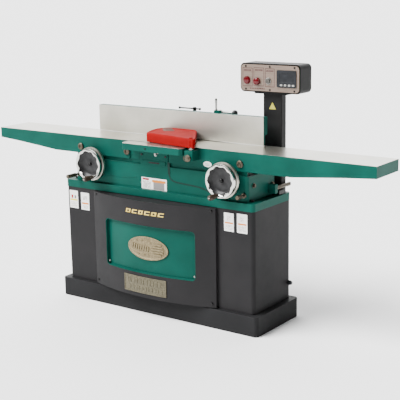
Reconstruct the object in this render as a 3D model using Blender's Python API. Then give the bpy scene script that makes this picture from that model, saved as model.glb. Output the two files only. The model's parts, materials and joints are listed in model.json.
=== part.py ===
"""Parallelogram surface planer (jointer) with pedestal controls.

Units in the tables below are millimetres.  World frame: X runs along the bed
towards the infeed end, Y points away from the operator, Z is up.  The origin
is the centre of the plinth's underside.
"""
import math

import bmesh
import bpy
from mathutils import Matrix, Vector

MM = 0.001

# ---- driving dimensions -----------------------------------------------------
PLINTH = (574.5, 179.0, 91.0)          # half length, half depth, height
PLINTH_WALL = 6.0
CAB_X, CAB_Y = 544.5, 155.3            # cabinet half sizes
CAB_Z0, CAB_Z1 = 91.3, 555.0
SHEET = 3.0
CORNER_R = 18.0

BOW_HALF = 355.0                       # bow-front cover: half chord
BOW_END_Y = -170.0
BOW_RISE = 60.0
BOW_Z0, BOW_Z1 = 95.0, 552.0
RECESS_X, RECESS_Z0, RECESS_Z1 = 261.5, 210.0, 440.0
RECESS_DEPTH = 18.0

CAST_X0, CAST_X1 = -490.0, 505.0       # base casting body
CAST_Y0, CAST_Y1 = -140.0, 88.0
CAST_WALL = 14.0
FLANGE_Z0, FLANGE_Z1 = 555.3, 590.0
CAST_TOP = 703.0
TOWER_TOP = 728.0
RIM_TOP = 730.0                        # wall behind the aprons
TOWER_X0, TOWER_X1 = -85.0, 80.0

HEAD_X, HEAD_Z = 13.0, 770.0           # cutterhead axis
HEAD_R = 40.0
HEAD_Y0, HEAD_Y1 = -129.0, 55.0
HEAD_SHAFT_R = 12.0

TABLE_Z = 810.0                        # work height
TABLE_Y0, TABLE_Y1 = -145.2, 55.3
TABLE_SKIN = 22.0
APRON = 12.0
APRON_Z = 726.0
OUT_X0, OUT_X1 = -997.4, -31.0
IN_X0, IN_X1 = 57.0, 1110.6
END_Z = 759.5
LEDGE = (-135.0, 205.0, -215.0, 780.0)  # x0, x1, front y, underside

LINK_DX, LINK_DZ = 40.0, 70.0          # table pin seen from its base pin
PIN_Z = 758.0
OUT_PINS = (-446.0, -159.0)
IN_PINS = (471.0, 186.0)
BASE_PIN_Z = PIN_Z - LINK_DZ
JOURNAL_R = 8.0
RUN = 0.3                              # running gap

WHEEL_Z = 685.5
WHEEL_XL, WHEEL_XR = -355.5, 402.5
WHEEL_R = 80.0
WHEEL_Y0, WHEEL_Y1 = -205.0, -168.0
GRIP_R_POS = 65.0
GRIP_ANGLE_L, GRIP_ANGLE_R = -63.0, -101.0

FENCE_X0, FENCE_X1 = -480.0, 477.0
FENCE_Y, FENCE_T = 33.0, 12.0
FENCE_Z0, FENCE_Z1 = 812.5, 938.0
HINGE_Y, HINGE_Z = 54.0, 820.0

GUARD_PIVOT = (232.0, -174.0)
GUARD_TOP, GUARD_LOW, GUARD_SKIRT = 857.0, 826.0, 812.5
KNOB_X, KNOB_Z = 238.0, 771.0          # wing screw that clamps the guard spindle

MOTOR_X, MOTOR_Z, MOTOR_R = 13.0, 300.0, 87.0
BELT_Y0, BELT_Y1 = 94.0, 114.0
HEAD_PULLEY_R, MOTOR_PULLEY_R = 28.0, 42.0

POST = (424.0, 520.0, 115.0, 155.0)    # x0, x1, y0, y1
BOX = (320.0, 630.0, 90.0, 184.0, 1040.0, 1168.0)
PLATE_Y = 86.5

# ---- materials ---------------------------------------------------------------
COLOURS = {
    "green": (0.010, 0.126, 0.102, 0.45, 0.0),
    "green_light": (0.020, 0.190, 0.150, 0.45, 0.0),
    "charcoal": (0.060, 0.060, 0.062, 0.55, 0.0),
    "dark": (0.022, 0.022, 0.024, 0.55, 0.0),
    "black": (0.010, 0.010, 0.011, 0.45, 0.0),
    "ground": (0.520, 0.510, 0.470, 0.30, 1.0),
    "steel": (0.420, 0.420, 0.410, 0.30, 1.0),
    "chrome": (0.700, 0.700, 0.700, 0.10, 1.0),
    "pewter": (0.330, 0.300, 0.230, 0.40, 1.0),
    "red": (0.600, 0.022, 0.018, 0.35, 0.0),
    "rubber": (0.012, 0.012, 0.012, 0.80, 0.0),
    "galvanised": (0.350, 0.360, 0.370, 0.40, 1.0),
    "plate": (0.500, 0.430, 0.410, 0.35, 1.0),
    "board": (0.020, 0.160, 0.060, 0.50, 0.0),
    "white": (0.750, 0.750, 0.720, 0.40, 0.0),
    "grip": (0.095, 0.080, 0.065, 0.50, 0.0),
}


def clear_scene():
    for ob in list(bpy.data.objects):
        bpy.data.objects.remove(ob, do_unlink=True)


def material(name):
    mat = bpy.data.materials.get(name)
    if mat:
        return mat
    r, g, b, rough, metal = COLOURS[name]
    mat = bpy.data.materials.new(name)
    mat.use_nodes = True
    shader = mat.node_tree.nodes["Principled BSDF"]
    shader.inputs["Base Color"].default_value = (r, g, b, 1.0)
    shader.inputs["Roughness"].default_value = rough
    shader.inputs["Metallic"].default_value = metal
    mat.diffuse_color = (r, g, b, 1.0)
    return mat


def tool_collection():
    col = bpy.data.collections.get("Cutters")
    if col is None:
        col = bpy.data.collections.new("Cutters")
        bpy.context.scene.collection.children.link(col)
    return col


# ---- shape makers: each returns (vertices, faces) in millimetres --------------
def box(x0, x1, y0, y1, z0, z1):
    v = [(x, y, z) for z in (z0, z1) for y in (y0, y1) for x in (x0, x1)]
    f = [(0, 2, 3, 1), (4, 5, 7, 6), (0, 1, 5, 4), (2, 6, 7, 3), (0, 4, 6, 2), (1, 3, 7, 5)]
    return v, f


def place(axis, a, b, c):
    """Point with in-plane coordinates a, b and c along the named axis."""
    if axis == "z":
        return (a, b, c)
    if axis == "y":
        return (a, c, b)
    return (c, a, b)


def prism(points, axis, c0, c1):
    n = len(points)
    v = [place(axis, a, b, c0) for a, b in points] + [place(axis, a, b, c1) for a, b in points]
    f = [tuple(range(n)), tuple(range(2 * n - 1, n - 1, -1))]
    f += [(i, n + i, n + (i + 1) % n, (i + 1) % n) for i in range(n)]
    return v, f


def circle(cx, cy, r, n, start=0.0):
    step = 2 * math.pi / n
    return [(cx + r * math.cos(start + i * step), cy + r * math.sin(start + i * step)) for i in range(n)]


def rod(axis, a, b, r, c0, c1, n=24):
    return prism(circle(a, b, r, n, math.pi / n), axis, c0, c1)


def rounded(a0, a1, b0, b1, r, n=5):
    pts = []
    corners = ((a1 - r, b1 - r, 0), (a0 + r, b1 - r, 90), (a0 + r, b0 + r, 180), (a1 - r, b0 + r, 270))
    for cx, cy, start in corners:
        for i in range(n + 1):
            t = math.radians(start + 90.0 * i / n)
            pts.append((cx + r * math.cos(t), cy + r * math.sin(t)))
    return pts


def lathe(profile, axis, a, b, n=32):
    """Solid of revolution: profile is (radius, along) from one axis end to the other."""
    v, f, rings = [], [], []
    for r, c in profile:
        if r <= 1e-6:
            rings.append([len(v)])
            v.append(place(axis, a, b, c))
            continue
        rings.append(list(range(len(v), len(v) + n)))
        v += [place(axis, x, y, c) for x, y in circle(a, b, r, n)]
    for low, high in zip(rings, rings[1:]):
        for i in range(n):
            j = (i + 1) % n
            quad = [low[i % len(low)], low[j % len(low)], high[j % len(high)], high[i % len(high)]]
            quad = list(dict.fromkeys(quad))
            if len(quad) > 2:
                f.append(tuple(quad))
    return v, f


def frustum(low, z0, high, z1):
    """Four-sided solid between two level rectangles (x0, x1, y0, y1)."""
    def ring(r, z):
        return [(r[0], r[2], z), (r[1], r[2], z), (r[1], r[3], z), (r[0], r[3], z)]
    v = ring(low, z0) + ring(high, z1)
    f = [(0, 3, 2, 1), (4, 5, 6, 7), (0, 1, 5, 4), (1, 2, 6, 5), (2, 3, 7, 6), (3, 0, 4, 7)]
    return v, f


def raw_object(name, shape, collection):
    verts, faces = shape
    mesh = bpy.data.meshes.new(name)
    mesh.from_pydata([(x * MM, y * MM, z * MM) for x, y, z in verts], [], faces)
    bm = bmesh.new()
    bm.from_mesh(mesh)
    bmesh.ops.recalc_face_normals(bm, faces=bm.faces)
    bm.to_mesh(mesh)
    bm.free()
    ob = bpy.data.objects.new(name, mesh)
    collection.objects.link(ob)
    return ob


def solid(name, colour, shapes, cuts=(), smooth=False, origin=None):
    """One node: the first shape joined with the others, less every cut."""
    ob = raw_object(name, shapes[0], bpy.context.scene.collection)
    ob.data.materials.append(material(colour))
    steps = [("UNION", s) for s in shapes[1:]] + [("DIFFERENCE", s) for s in cuts]
    for i, (kind, shape) in enumerate(steps):
        tool = raw_object(f"tool_{name}_{i}", shape, tool_collection())
        tool.hide_render = True
        tool.display_type = "WIRE"
        mod = ob.modifiers.new(f"{kind.lower()}_{i}", "BOOLEAN")
        mod.operation = kind
        mod.solver = "EXACT"
        mod.object = tool
    if smooth:
        for poly in ob.data.polygons:
            poly.use_smooth = True
    if origin:
        move_origin(ob, origin)
    return ob


def move_origin(ob, point):
    shift = Vector(point) * MM
    ob.data.transform(Matrix.Translation(-shift))
    ob.location = shift


# ---- stand -------------------------------------------------------------------
def make_plinth():
    hx, hy, top = PLINTH
    w = PLINTH_WALL
    outer = prism(rounded(-hx, hx, -hy, hy, CORNER_R), "z", 0, top)
    inner = box(-hx + w, hx - w, -hy + w, hy - w, w, top - w)
    mouth = box(-515, 515, -125, 125, top - w - 1, top + 1)
    solid("plinth", "dark", [outer], [inner, mouth])


def make_cabinet():
    outer = prism(rounded(-CAB_X, CAB_X, -CAB_Y, CAB_Y, CORNER_R), "z", CAB_Z0, CAB_Z1)
    inside = prism(rounded(-CAB_X + SHEET, CAB_X - SHEET, -CAB_Y + SHEET, CAB_Y - SHEET, CORNER_R - SHEET),
                   "z", CAB_Z0 + SHEET, CAB_Z1 - SHEET)
    mouth = box(-CAB_X + 25, CAB_X - 25, -CAB_Y + 25, CAB_Y - 25, CAB_Z0 - 1, CAB_Z1 + 1)
    access = prism(rounded(-320, 320, 130, 525, 20), "y", -CAB_Y - 5, -CAB_Y + 10)
    port = rod("y", -230, 330, 52.5, CAB_Y - 10, CAB_Y + 5, 32)
    vents = [prism(rounded(120, 300, 180 + 26 * i, 190 + 26 * i, 4.9, 3), "y", CAB_Y - 10, CAB_Y + 5)
             for i in range(5)]
    gland_hole = rod("x", 138, 167, 6.5, CAB_X - 10, CAB_X + 5, 20)
    solid("cabinet", "charcoal", [outer], [inside, mouth, access, port, gland_hole] + vents)


def bow_y(x, inset=0.0):
    return BOW_END_Y - BOW_RISE * (1 - (x / BOW_HALF) ** 2) + inset


def bow_strip(half, inset_out, inset_in, centre=0.0, n=24):
    xs = [centre - half + 2 * half * i / n for i in range(n + 1)]
    front = [(x, bow_y(x, inset_out)) for x in xs]
    back = [(x, bow_y(x, inset_in)) for x in reversed(xs)]
    return front + back


def make_bow_panel():
    back = -CAB_Y - 0.5
    xs = [-BOW_HALF + 2 * BOW_HALF * i / 30 for i in range(31)]
    outline = [(x, bow_y(x)) for x in xs] + [(BOW_HALF, back), (-BOW_HALF, back)]
    inner_half = BOW_HALF - SHEET
    xs_in = [-inner_half + 2 * inner_half * i / 30 for i in range(31)]
    hollow = [(x, bow_y(x, SHEET)) for x in xs_in] + [(inner_half, back + 5), (-inner_half, back + 5)]
    shell = prism(outline, "z", BOW_Z0, BOW_Z1)
    cavity = prism(hollow, "z", BOW_Z0 + SHEET, BOW_Z1 - SHEET)
    window = prism(rounded(-RECESS_X, RECESS_X, RECESS_Z0, RECESS_Z1, 20), "y", -260, back + 10)
    solid("bow_panel", "charcoal", [shell], [cavity, window])


def make_recess_panel():
    gap, wall = 0.4, 2.5
    hx = RECESS_X - gap
    z0, z1 = RECESS_Z0 + gap, RECESS_Z1 - gap
    body = prism(bow_strip(hx, 1.0, RECESS_DEPTH + wall), "z", z0, z1)
    shape = prism(rounded(-hx, hx, z0, z1, 19.6), "y", -299, -151)
    pocket = prism(bow_strip(hx - wall, -40, RECESS_DEPTH), "z", z0 + wall, z1 - wall)
    ob = solid("recess_panel", "green_light", [body])
    frame_ob = raw_object("tool_recess_shape", shape, tool_collection())
    frame_ob.hide_render = True
    frame_ob.display_type = "WIRE"
    mod = ob.modifiers.new("corners", "BOOLEAN")
    mod.operation = "INTERSECT"
    mod.solver = "EXACT"
    mod.object = frame_ob
    pocket_ob = raw_object("tool_recess_pocket", pocket, tool_collection())
    pocket_ob.hide_render = True
    pocket_ob.display_type = "WIRE"
    mod = ob.modifiers.new("pocket", "BOOLEAN")
    mod.operation = "DIFFERENCE"
    mod.solver = "EXACT"
    mod.object = pocket_ob


def trimmed_strip(name, colour, strip, z0, z1, outline):
    ob = solid(name, colour, [prism(strip, "z", z0, z1)])
    tool = raw_object(f"tool_{name}_trim", prism(outline, "y", -300, -100), tool_collection())
    tool.hide_render = True
    tool.display_type = "WIRE"
    mod = ob.modifiers.new("trim", "BOOLEAN")
    mod.operation = "INTERSECT"
    mod.solver = "EXACT"
    mod.object = tool


def make_badges():
    oval = [(2 + 118 * math.cos(t * math.pi / 18), 332 + 56 * math.sin(t * math.pi / 18)) for t in range(36)]
    strip = bow_strip(125, RECESS_DEPTH - 6, RECESS_DEPTH - 0.3, 2, 12)
    trimmed_strip("oval_badge", "pewter", strip, 270, 395, oval)
    strip = bow_strip(128, -3.5, -0.3, -9, 12)
    trimmed_strip("name_plate", "pewter", strip, 110, 200, rounded(-133, 115, 115, 195, 5, 3))


def make_cable_gland():
    profile = [(0, CAB_X - 8), (6.2, CAB_X - 8), (6.2, CAB_X + 0.3), (11, CAB_X + 0.3), (11, CAB_X + 9),
               (8, CAB_X + 17), (0, CAB_X + 17)]
    solid("cable_gland", "black", [lathe(profile, "x", 138, 167, 16)], smooth=True)


# ---- base casting --------------------------------------------------------------
def make_base_casting():
    w = CAST_WALL
    flange = prism(rounded(-545.5, 545.5, -158, 155.3, CORNER_R), "z", FLANGE_Z0, FLANGE_Z1)
    body = prism(rounded(CAST_X0, CAST_X1, CAST_Y0, CAST_Y1, 14), "z", FLANGE_Z0 + 10, CAST_TOP)
    tower_f = box(TOWER_X0, TOWER_X1, CAST_Y0, CAST_Y0 + w, 640, TOWER_TOP)
    tower_r = box(TOWER_X0, TOWER_X1, 56, CAST_Y1, 640, TOWER_TOP)
    lock_boss = box(CAST_X1 - 5, 542, 25, 47, 604, 644)
    hollow = box(CAST_X0 + w, CAST_X1 - w, CAST_Y0 + w, 56, FLANGE_Z1, TOWER_TOP + 5)
    rear_l = box(CAST_X0 + w, TOWER_X0, 50, CAST_Y1 - w, FLANGE_Z1, TOWER_TOP + 5)
    rear_r = box(TOWER_X1, CAST_X1 - w, 50, CAST_Y1 - w, FLANGE_Z1, TOWER_TOP + 5)
    throat = box(-470, 485, -120, 68, FLANGE_Z0 - 5, FLANGE_Z1 + 5)
    belt_slot = box(-48, 74, 90, 124, FLANGE_Z0 - 5, FLANGE_Z1 + 5)
    cuts = [hollow, rear_l, rear_r, throat, belt_slot]
    for x in link_base_xs():
        cuts.append(rod("y", x, BASE_PIN_Z, JOURNAL_R + RUN, CAST_Y0 + 5, CAST_Y0 + w + 5))
        cuts.append(rod("y", x, BASE_PIN_Z, JOURNAL_R + RUN, CAST_Y1 - w - 5, CAST_Y1 - 5))
    for x in (WHEEL_XL, WHEEL_XR):
        cuts.append(rod("y", x, WHEEL_Z, 8 + RUN, CAST_Y0 - 5, CAST_Y0 + w + 5))
    for x in (-464, 488):
        cuts.append(rod("y", x, 621, 6 + RUN, CAST_Y0 - 5, CAST_Y0 + 9))
    cuts.append(rod("y", 530, 624, 6 + RUN, 35, 52))
    inner = (CAST_X0 + 8, TOWER_X0 + 1, TOWER_X1 - 1, CAST_X1 - 8)
    rims = [box(a, b, TABLE_Y0 + APRON + 1.2, CAST_Y0 + w, CAST_TOP - 5, RIM_TOP) for a, b in (inner[:2], inner[2:])]
    solid("base_casting", "green", [flange, body, tower_f, tower_r, lock_boss] + rims, cuts)


def link_base_xs():
    return [x + LINK_DX for x in OUT_PINS] + [x - LINK_DX for x in IN_PINS]


def make_gearbox(name, wheel_x, link_x):
    x0, x1 = min(wheel_x, link_x) - 22, max(wheel_x, link_x) + 22
    y0 = CAST_Y0 + CAST_WALL + 0.4
    shape = prism(rounded(x0, x1, 666, 712, 8, 3), "y", y0, y0 + 48)
    shaft = rod("y", wheel_x, WHEEL_Z, 8 + RUN, y0 - 5, y0 + 40)
    cross = rod("y", link_x, BASE_PIN_Z, 10 + RUN, y0 - 5, y0 + 60)
    solid(name, "green", [shape], [shaft, cross])


# ---- tables and links ------------------------------------------------------------
def table_side(x_end, x_head, sign):
    """Front view outline of an apron, from the free end to the head end."""
    a = x_end
    return [(a, END_Z), (a + sign * 131, 750), (a + sign * 306, 733), (a + sign * 387, APRON_Z),
            (x_head, APRON_Z), (x_head, TABLE_Z - 6), (a, TABLE_Z - 6)]


def lip(x_edge, x_root, sign):
    """Section of the thin lip that reaches over the cutterhead's shoulder."""
    return [(x_edge, TABLE_Z), (x_edge, TABLE_Z - 6), (x_edge + sign * 30, TABLE_Z - 34),
            (x_root, TABLE_Z - 34), (x_root, TABLE_Z)]


def table_shapes(x_end, x_edge, x_root, sign):
    y0, y1 = TABLE_Y0, TABLE_Y1
    top = box(min(x_end, x_root), max(x_end, x_root), y0, y1, TABLE_Z - TABLE_SKIN, TABLE_Z)
    side = table_side(x_end, x_root, sign)
    front = prism(side, "y", y0, y0 + APRON)
    rear = prism(side, "y", y1 - APRON, y1)
    end = box(min(x_end, x_end + sign * 12), max(x_end, x_end + sign * 12), y0, y1, END_Z, TABLE_Z - 6)
    nose = prism(lip(x_edge, x_root + sign * -4, -sign), "y", y0, y1)
    shapes = [top, front, rear, end, nose]
    for k in (0.22, 0.42):
        x = x_end + (x_root - x_end) * k
        shapes.append(box(x - 4, x + 4, y0 + 6, y1 - 6, 762, TABLE_Z - 6))
    spine_y = (y0 + y1) / 2
    far = x_end + sign * 20
    near = x_end + sign * 440
    shapes.append(box(min(far, near), max(far, near), spine_y - 4, spine_y + 4, 766, TABLE_Z - 6))
    return shapes


def pin_cuts(xs):
    cuts = []
    for x in xs:
        cuts.append(rod("y", x, PIN_Z, JOURNAL_R + RUN, TABLE_Y0 - 5, TABLE_Y0 + APRON + 5))
        cuts.append(rod("y", x, PIN_Z, JOURNAL_R + RUN, TABLE_Y1 - APRON - 5, TABLE_Y1 + 5))
    return cuts


def make_outfeed_table():
    shapes = table_shapes(OUT_X0, OUT_X1, -90, 1)
    notch = box(-146, 0, TABLE_Y0 - 5, -138, 700, TABLE_Z + 5)
    solid("outfeed_table", "ground", shapes, pin_cuts(OUT_PINS) + [notch])


def make_infeed_table():
    shapes = table_shapes(IN_X1, IN_X0, 84, -1)
    x0, x1, y0, z0 = LEDGE
    outline = [(x0 - 6, -200), (x0 + 9, y0), (x1 - 12, y0), (x1, y0 + 12), (x1, -140), (84, -140),
               (84, -146.8), (x0 - 6, -146.8)]
    shapes.append(prism(outline, "z", z0, TABLE_Z))
    solid("infeed_table", "ground", shapes, pin_cuts(IN_PINS))


def make_link(name, pin_x, sign):
    """Rocker: base shaft, two arms and the shaft that carries the table."""
    bx, bz = pin_x + sign * LINK_DX, BASE_PIN_Z
    base = rod("y", bx, bz, 10, CAST_Y0 + CAST_WALL + 1, CAST_Y1 - CAST_WALL - 1)
    base_j = rod("y", bx, bz, JOURNAL_R, CAST_Y0 + 6, CAST_Y1 - 6)
    top = rod("y", pin_x, PIN_Z, 10, TABLE_Y0 + APRON + 1, TABLE_Y1 - APRON - 1)
    top_j = rod("y", pin_x, PIN_Z, JOURNAL_R, TABLE_Y0 + 1, TABLE_Y1 - 1)
    arms = []
    d = Vector((LINK_DX * -sign, LINK_DZ)).normalized()
    n = Vector((-d.y, d.x))
    p, q = Vector((bx, bz)), Vector((pin_x, PIN_Z))
    for y0, y1 in ((-70, -56), (20, 34)):
        corners = [p - d * 14 + n * 9, p - d * 14 - n * 9, q + d * 12 - n * 8, q + d * 12 + n * 8]
        arms.append(prism([(c.x, c.y) for c in corners], "y", y0, y1))
    solid(name, "steel", [base, base_j, top, top_j] + arms, origin=(bx, 0, bz))


# ---- cutterhead and drive ----------------------------------------------------------
def make_bearings():
    w, r = 30.0, HEAD_SHAFT_R + RUN
    x0, x1 = HEAD_X - w, HEAD_X + w
    top = prism(rounded(x0, x1, TOWER_TOP + 0.3, 797, 16, 4), "y", -144.5, -131.5)
    cheek = box(TOWER_X0 + 1, TOWER_X1 - 2, -144.5, -132.5, TOWER_TOP + 0.3, 771)
    solid("bearing_front", "green", [top, cheek], [rod("y", HEAD_X, HEAD_Z, r, -160, -120, 32)])
    rear = prism(rounded(x0, x1, TOWER_TOP + 0.3, 800, 16, 4), "y", 58, 84)
    feet = box(x0 - 18, x1 + 18, 60, 82, TOWER_TOP + 0.3, TOWER_TOP + 14)
    solid("bearing_rear", "steel", [rear, feet], [rod("y", HEAD_X, HEAD_Z, r, 50, 90, 32)])


def make_cutterhead():
    profile = [(0, -143), (HEAD_SHAFT_R, -143), (HEAD_SHAFT_R, HEAD_Y0), (HEAD_R - 2, HEAD_Y0),
               (HEAD_R, HEAD_Y0 + 2), (HEAD_R, HEAD_Y1 - 2), (HEAD_R - 2, HEAD_Y1),
               (HEAD_SHAFT_R, HEAD_Y1), (HEAD_SHAFT_R, 117), (0, 117)]
    pockets = []
    for i in range(6):
        t = 2 * math.pi * i / 6
        for k, y in enumerate((-112, -76, -40, -4, 32)):
            u = t + 0.22 * k
            a, b = HEAD_X + 39 * math.cos(u), HEAD_Z + 39 * math.sin(u)
            pockets.append(prism(circle(a, b, 7.5, 4, u), "y", y - 6, y + 6))
    solid("cutterhead", "steel", [lathe(profile, "y", HEAD_X, HEAD_Z, 40)], pockets,
          origin=(HEAD_X, 0, HEAD_Z))


def make_pulley(name, x, z, r, bore):
    y0, y1 = BELT_Y0 - 3, BELT_Y1 + 3
    profile = [(0, y0), (r + 3, y0), (r + 3, BELT_Y0 - 0.4), (r, BELT_Y0 - 0.4), (r, BELT_Y1 + 0.4),
               (r + 3, BELT_Y1 + 0.4), (r + 3, y1), (0, y1)]
    hole = rod("y", x, z, bore + RUN, y0 - 5, y1 + 5, 32)
    solid(name, "dark", [lathe(profile, "y", x, z, 36)], [hole], origin=(x, 0, z))


def belt_outline(extra, n=20):
    """Outline of the loop at a distance `extra` outside the pulley rims."""
    d = HEAD_Z - MOTOR_Z
    tilt = math.asin((MOTOR_PULLEY_R - HEAD_PULLEY_R) / d)
    pts = []
    for i in range(n + 1):
        t = tilt + (math.pi - 2 * tilt) * i / n
        r = HEAD_PULLEY_R + extra
        pts.append((HEAD_X + r * math.cos(t), HEAD_Z + r * math.sin(t)))
    for i in range(n + 1):
        t = math.pi - tilt + (math.pi + 2 * tilt) * i / n
        r = MOTOR_PULLEY_R + extra
        pts.append((MOTOR_X + r * math.cos(t), MOTOR_Z + r * math.sin(t)))
    return pts


def make_belt():
    outer = prism(belt_outline(6.5), "y", BELT_Y0, BELT_Y1)
    inner = prism(belt_outline(0.5), "y", BELT_Y0 - 5, BELT_Y1 + 5)
    solid("drive_belt", "rubber", [outer], [inner])


def make_belt_cover():
    outer = prism(rounded(-40, 63, FLANGE_Z1 + 0.4, 811, 12, 4), "y", 90, 122)
    inner = prism(rounded(-37, 60, FLANGE_Z1 - 40, 808, 10, 4), "y", 85, 119)
    solid("belt_cover", "green", [outer], [inner])


def make_motor():
    x, z, r = MOTOR_X, MOTOR_Z, MOTOR_R
    profile = [(0, -138), (r - 14, -138), (r, -126), (r, -98), (r - 3, -96), (r - 3, 44), (r, 46),
               (r, 58), (r - 10, 68), (0, 68)]
    foot = box(x - 62, x + 62, -70, 30, z - MOTOR_R - 1.5, z - 60)
    hood = box(x + 40, x + 108, -60, 10, z - 32, z + 32)
    hole = rod("y", x, z, 14.3, 20, 80, 28)
    solid("motor_body", "dark", [lathe(profile, "y", x, z, 36), foot, hood], [hole])
    shaft = lathe([(0, 24), (14, 24), (14, 90), (12, 90), (12, 118), (0, 118)], "y", x, z, 28)
    solid("motor_shaft", "steel", [shaft], smooth=True, origin=(x, 0, z))
    top = box(x - 88, x + 88, -125, 55, z - 95, z - 89)
    legs = [box(x - 88, x - 82, -118, 48, 6.4, z - 92), box(x + 82, x + 88, -118, 48, 6.4, z - 92)]
    solid("motor_mount", "charcoal", [top] + legs)


def make_dust_path():
    top, low = (-42, 68, -118, 50), (-290, -170, -20, 60)
    outer = frustum(low, 420, top, 698)
    t = 2.0
    inner = frustum((low[0] + t, low[1] - t, low[2] + t, low[3] - t), 419,
                    (top[0] + t, top[1] - t, top[2] + t, top[3] - t), 699)
    solid("dust_chute", "galvanised", [outer], [inner])
    hood = box(-290, -170, -20, 60, 262, 419.6)
    pipe = rod("y", -230, 330, 50.5, 58, 208, 40)
    room = box(-287.5, -172.5, -17.5, 57.5, 264.5, 425)
    bore = rod("y", -230, 330, 48.5, 50, 215, 40)
    solid("dust_port", "galvanised", [hood, pipe], [room, bore])


# ---- handwheels and locks -------------------------------------------------------------
def make_handwheel(side, x, angle):
    z, r = WHEEL_Z, WHEEL_R
    profile = [(0, -196), (16, -196), (20, -186), (30, -183), (56, -183), (60, -200), (63, -205), (72, -205),
               (75, -202), (75, -193), (71, -190), (71, -187), (78, -184), (80, -181), (80, -171), (77, -168),
               (62, -168), (58, -177), (22, -177), (18, -160), (8, -160), (8, -92), (0, -92)]
    wheel = lathe(profile, "y", x, z, 40)
    gx = x + GRIP_R_POS * math.cos(math.radians(angle))
    gz = z + GRIP_R_POS * math.sin(math.radians(angle))
    hole = rod("y", gx, gz, 4 + RUN, -215, -186, 16)
    solid(f"handwheel_{side}", "steel", [wheel], [hole], smooth=True, origin=(x, 0, z))
    grip = [(0, -268), (8, -268), (11.5, -263), (12.5, -248), (10.5, -228), (8.5, -212), (8.5, -205.6),
            (4, -205.6), (4, -187), (0, -187)]
    solid(f"handle_{side}", "grip", [lathe(grip, "y", gx, gz, 16)], smooth=True, origin=(gx, 0, gz))


def make_table_lock(name, x, front):
    shank = rod("y", x, 621, 6, -175, CAST_Y0 + 8, 16)
    bar = prism(circle(x, 621, 9.5, 6), "y", front, -172)
    collar = rod("y", x, 621, 11, -150, CAST_Y0 - 0.4, 20)
    solid(name, "steel", [shank, bar, collar], origin=(x, 0, 621))


def make_rear_lock():
    shank = rod("y", 530, 624, 6, 36, 60, 16)
    bar = prism(circle(530, 624, 8.5, 8), "y", 47.5, 168)
    flat = box(525, 535, 140, 172, 616.5, 631.5)
    solid("rear_table_lock", "steel", [shank, bar, flat], origin=(530, 0, 624))


# ---- fence ---------------------------------------------------------------------------
def make_fence():
    x0, x1, y = FENCE_X0, FENCE_X1, FENCE_Y
    back = y + FENCE_T
    face = box(x0, x1, y, back, FENCE_Z0, FENCE_Z1)
    top_rib = box(x0, x1, back - 2, 65, FENCE_Z1 - 12, FENCE_Z1)
    mid_rib = box(x0, x1, back - 2, 58, 857, 865)
    shapes = [face, top_rib, mid_rib]
    for x in (x0, x1 - 10):
        shapes.append(box(x, x + 10, back - 2, 65, 860, FENCE_Z1 - 5))
    for x in (-330, -180, -40, 100, 330):
        shapes.append(box(x - 4, x + 4, back - 2, 62, 860, FENCE_Z1 - 5))
    shapes.append(box(192, 222, 60, 78, 904, 948))
    for a in (62, 150):
        shapes.append(rod("x", HINGE_Y, HINGE_Z, 7, a, a + 28, 20))
        shapes.append(box(a, a + 28, back - 2, HINGE_Y, 814, 826))
    cuts = [rod("x", HINGE_Y, HINGE_Z, 3.5 + RUN, a, b, 16) for a, b in ((78, 95), (145, 162))]
    cuts.append(rod("y", 207, 938, 5 + RUN, 73.5, 85, 16))
    cuts.append(rod("z", 200, 68, 4 + RUN, 925, 955, 16))
    solid("fence", "ground", shapes, cuts, origin=(0, HINGE_Y, HINGE_Z))


def make_fence_controls():
    solid("tilt_handle", "chrome", [rod("z", 200, 68, 5, 948.4, 1004, 16), rod("z", 200, 68, 4, 926, 952, 16)],
          smooth=True)
    hub = rod("y", 207, 938, 9, 78.4, 94, 20)
    stem = rod("y", 207, 938, 5, 74.5, 82, 16)
    arm = rod("x", 87, 938, 4.5, 207, 285, 16)
    ball = lathe([(0, 275), (9, 279), (13.5, 285), (14.5, 290), (13.5, 295), (9, 301), (0, 305)],
                 "x", 87, 938, 16)
    solid("tilt_lock_lever", "black", [hub, stem, arm, ball], origin=(207, 87, 938))
    stud = rod("z", 5, 168, 6, 816, 925, 16)
    cap = rod("z", 5, 168, 9, 917, 940, 20)
    cross = rod("x", 168, 932, 3.5, -88, 40, 12)
    tips = [lathe([(0, c - 6), (4.5, c - 4), (6, c), (4.5, c + 4), (0, c + 6)], "x", 168, 932, 12)
            for c in (-88, 40)]
    solid("slide_lock_lever", "chrome", [stud, cap, cross] + tips, origin=(5, 168, 932))


def make_carriage():
    plate = box(-15, 200, 64, 250, 813.5, 831)
    tongue = box(94, 146, 52, 70, 814, 826)
    barrel = rod("x", HINGE_Y, HINGE_Z, 7, 92, 148, 20)
    pins = rod("x", HINGE_Y, HINGE_Z, 3.5, 79, 161, 16)
    key = box(120.4, 143.6, 176, 238, 802, 815)
    rib = box(-10, 40, 150, 186, 829, 850)
    bore = rod("z", 5, 168, 6 + RUN, 815.5, 860, 16)
    solid("fence_carriage", "green", [plate, tongue, barrel, pins, key, rib], [bore])


def make_slide_base():
    rail = box(66, 198, 60, 240, 790, 812.8)
    stem = box(70, 194, CAST_Y1 + 0.4, 150, 640, 792)
    brace = prism([(88.4, 660), (150, 660), (225, 786), (225, 795), (88.4, 795)], "x", 124, 140)
    groove = box(120, 144, 55, 245, 801.6, 820)
    solid("fence_slide_base", "green", [stem, rail, brace], [groove])


# ---- guard ----------------------------------------------------------------------------
GUARD_PLAN = [(-46, -141), (250, -187), (257, -176), (226, -128), (180, -62), (138, 4), (112, 28),
              (-30, 28), (-62, 12), (-77, -20), (-74, -68), (-60, -110)]


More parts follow.
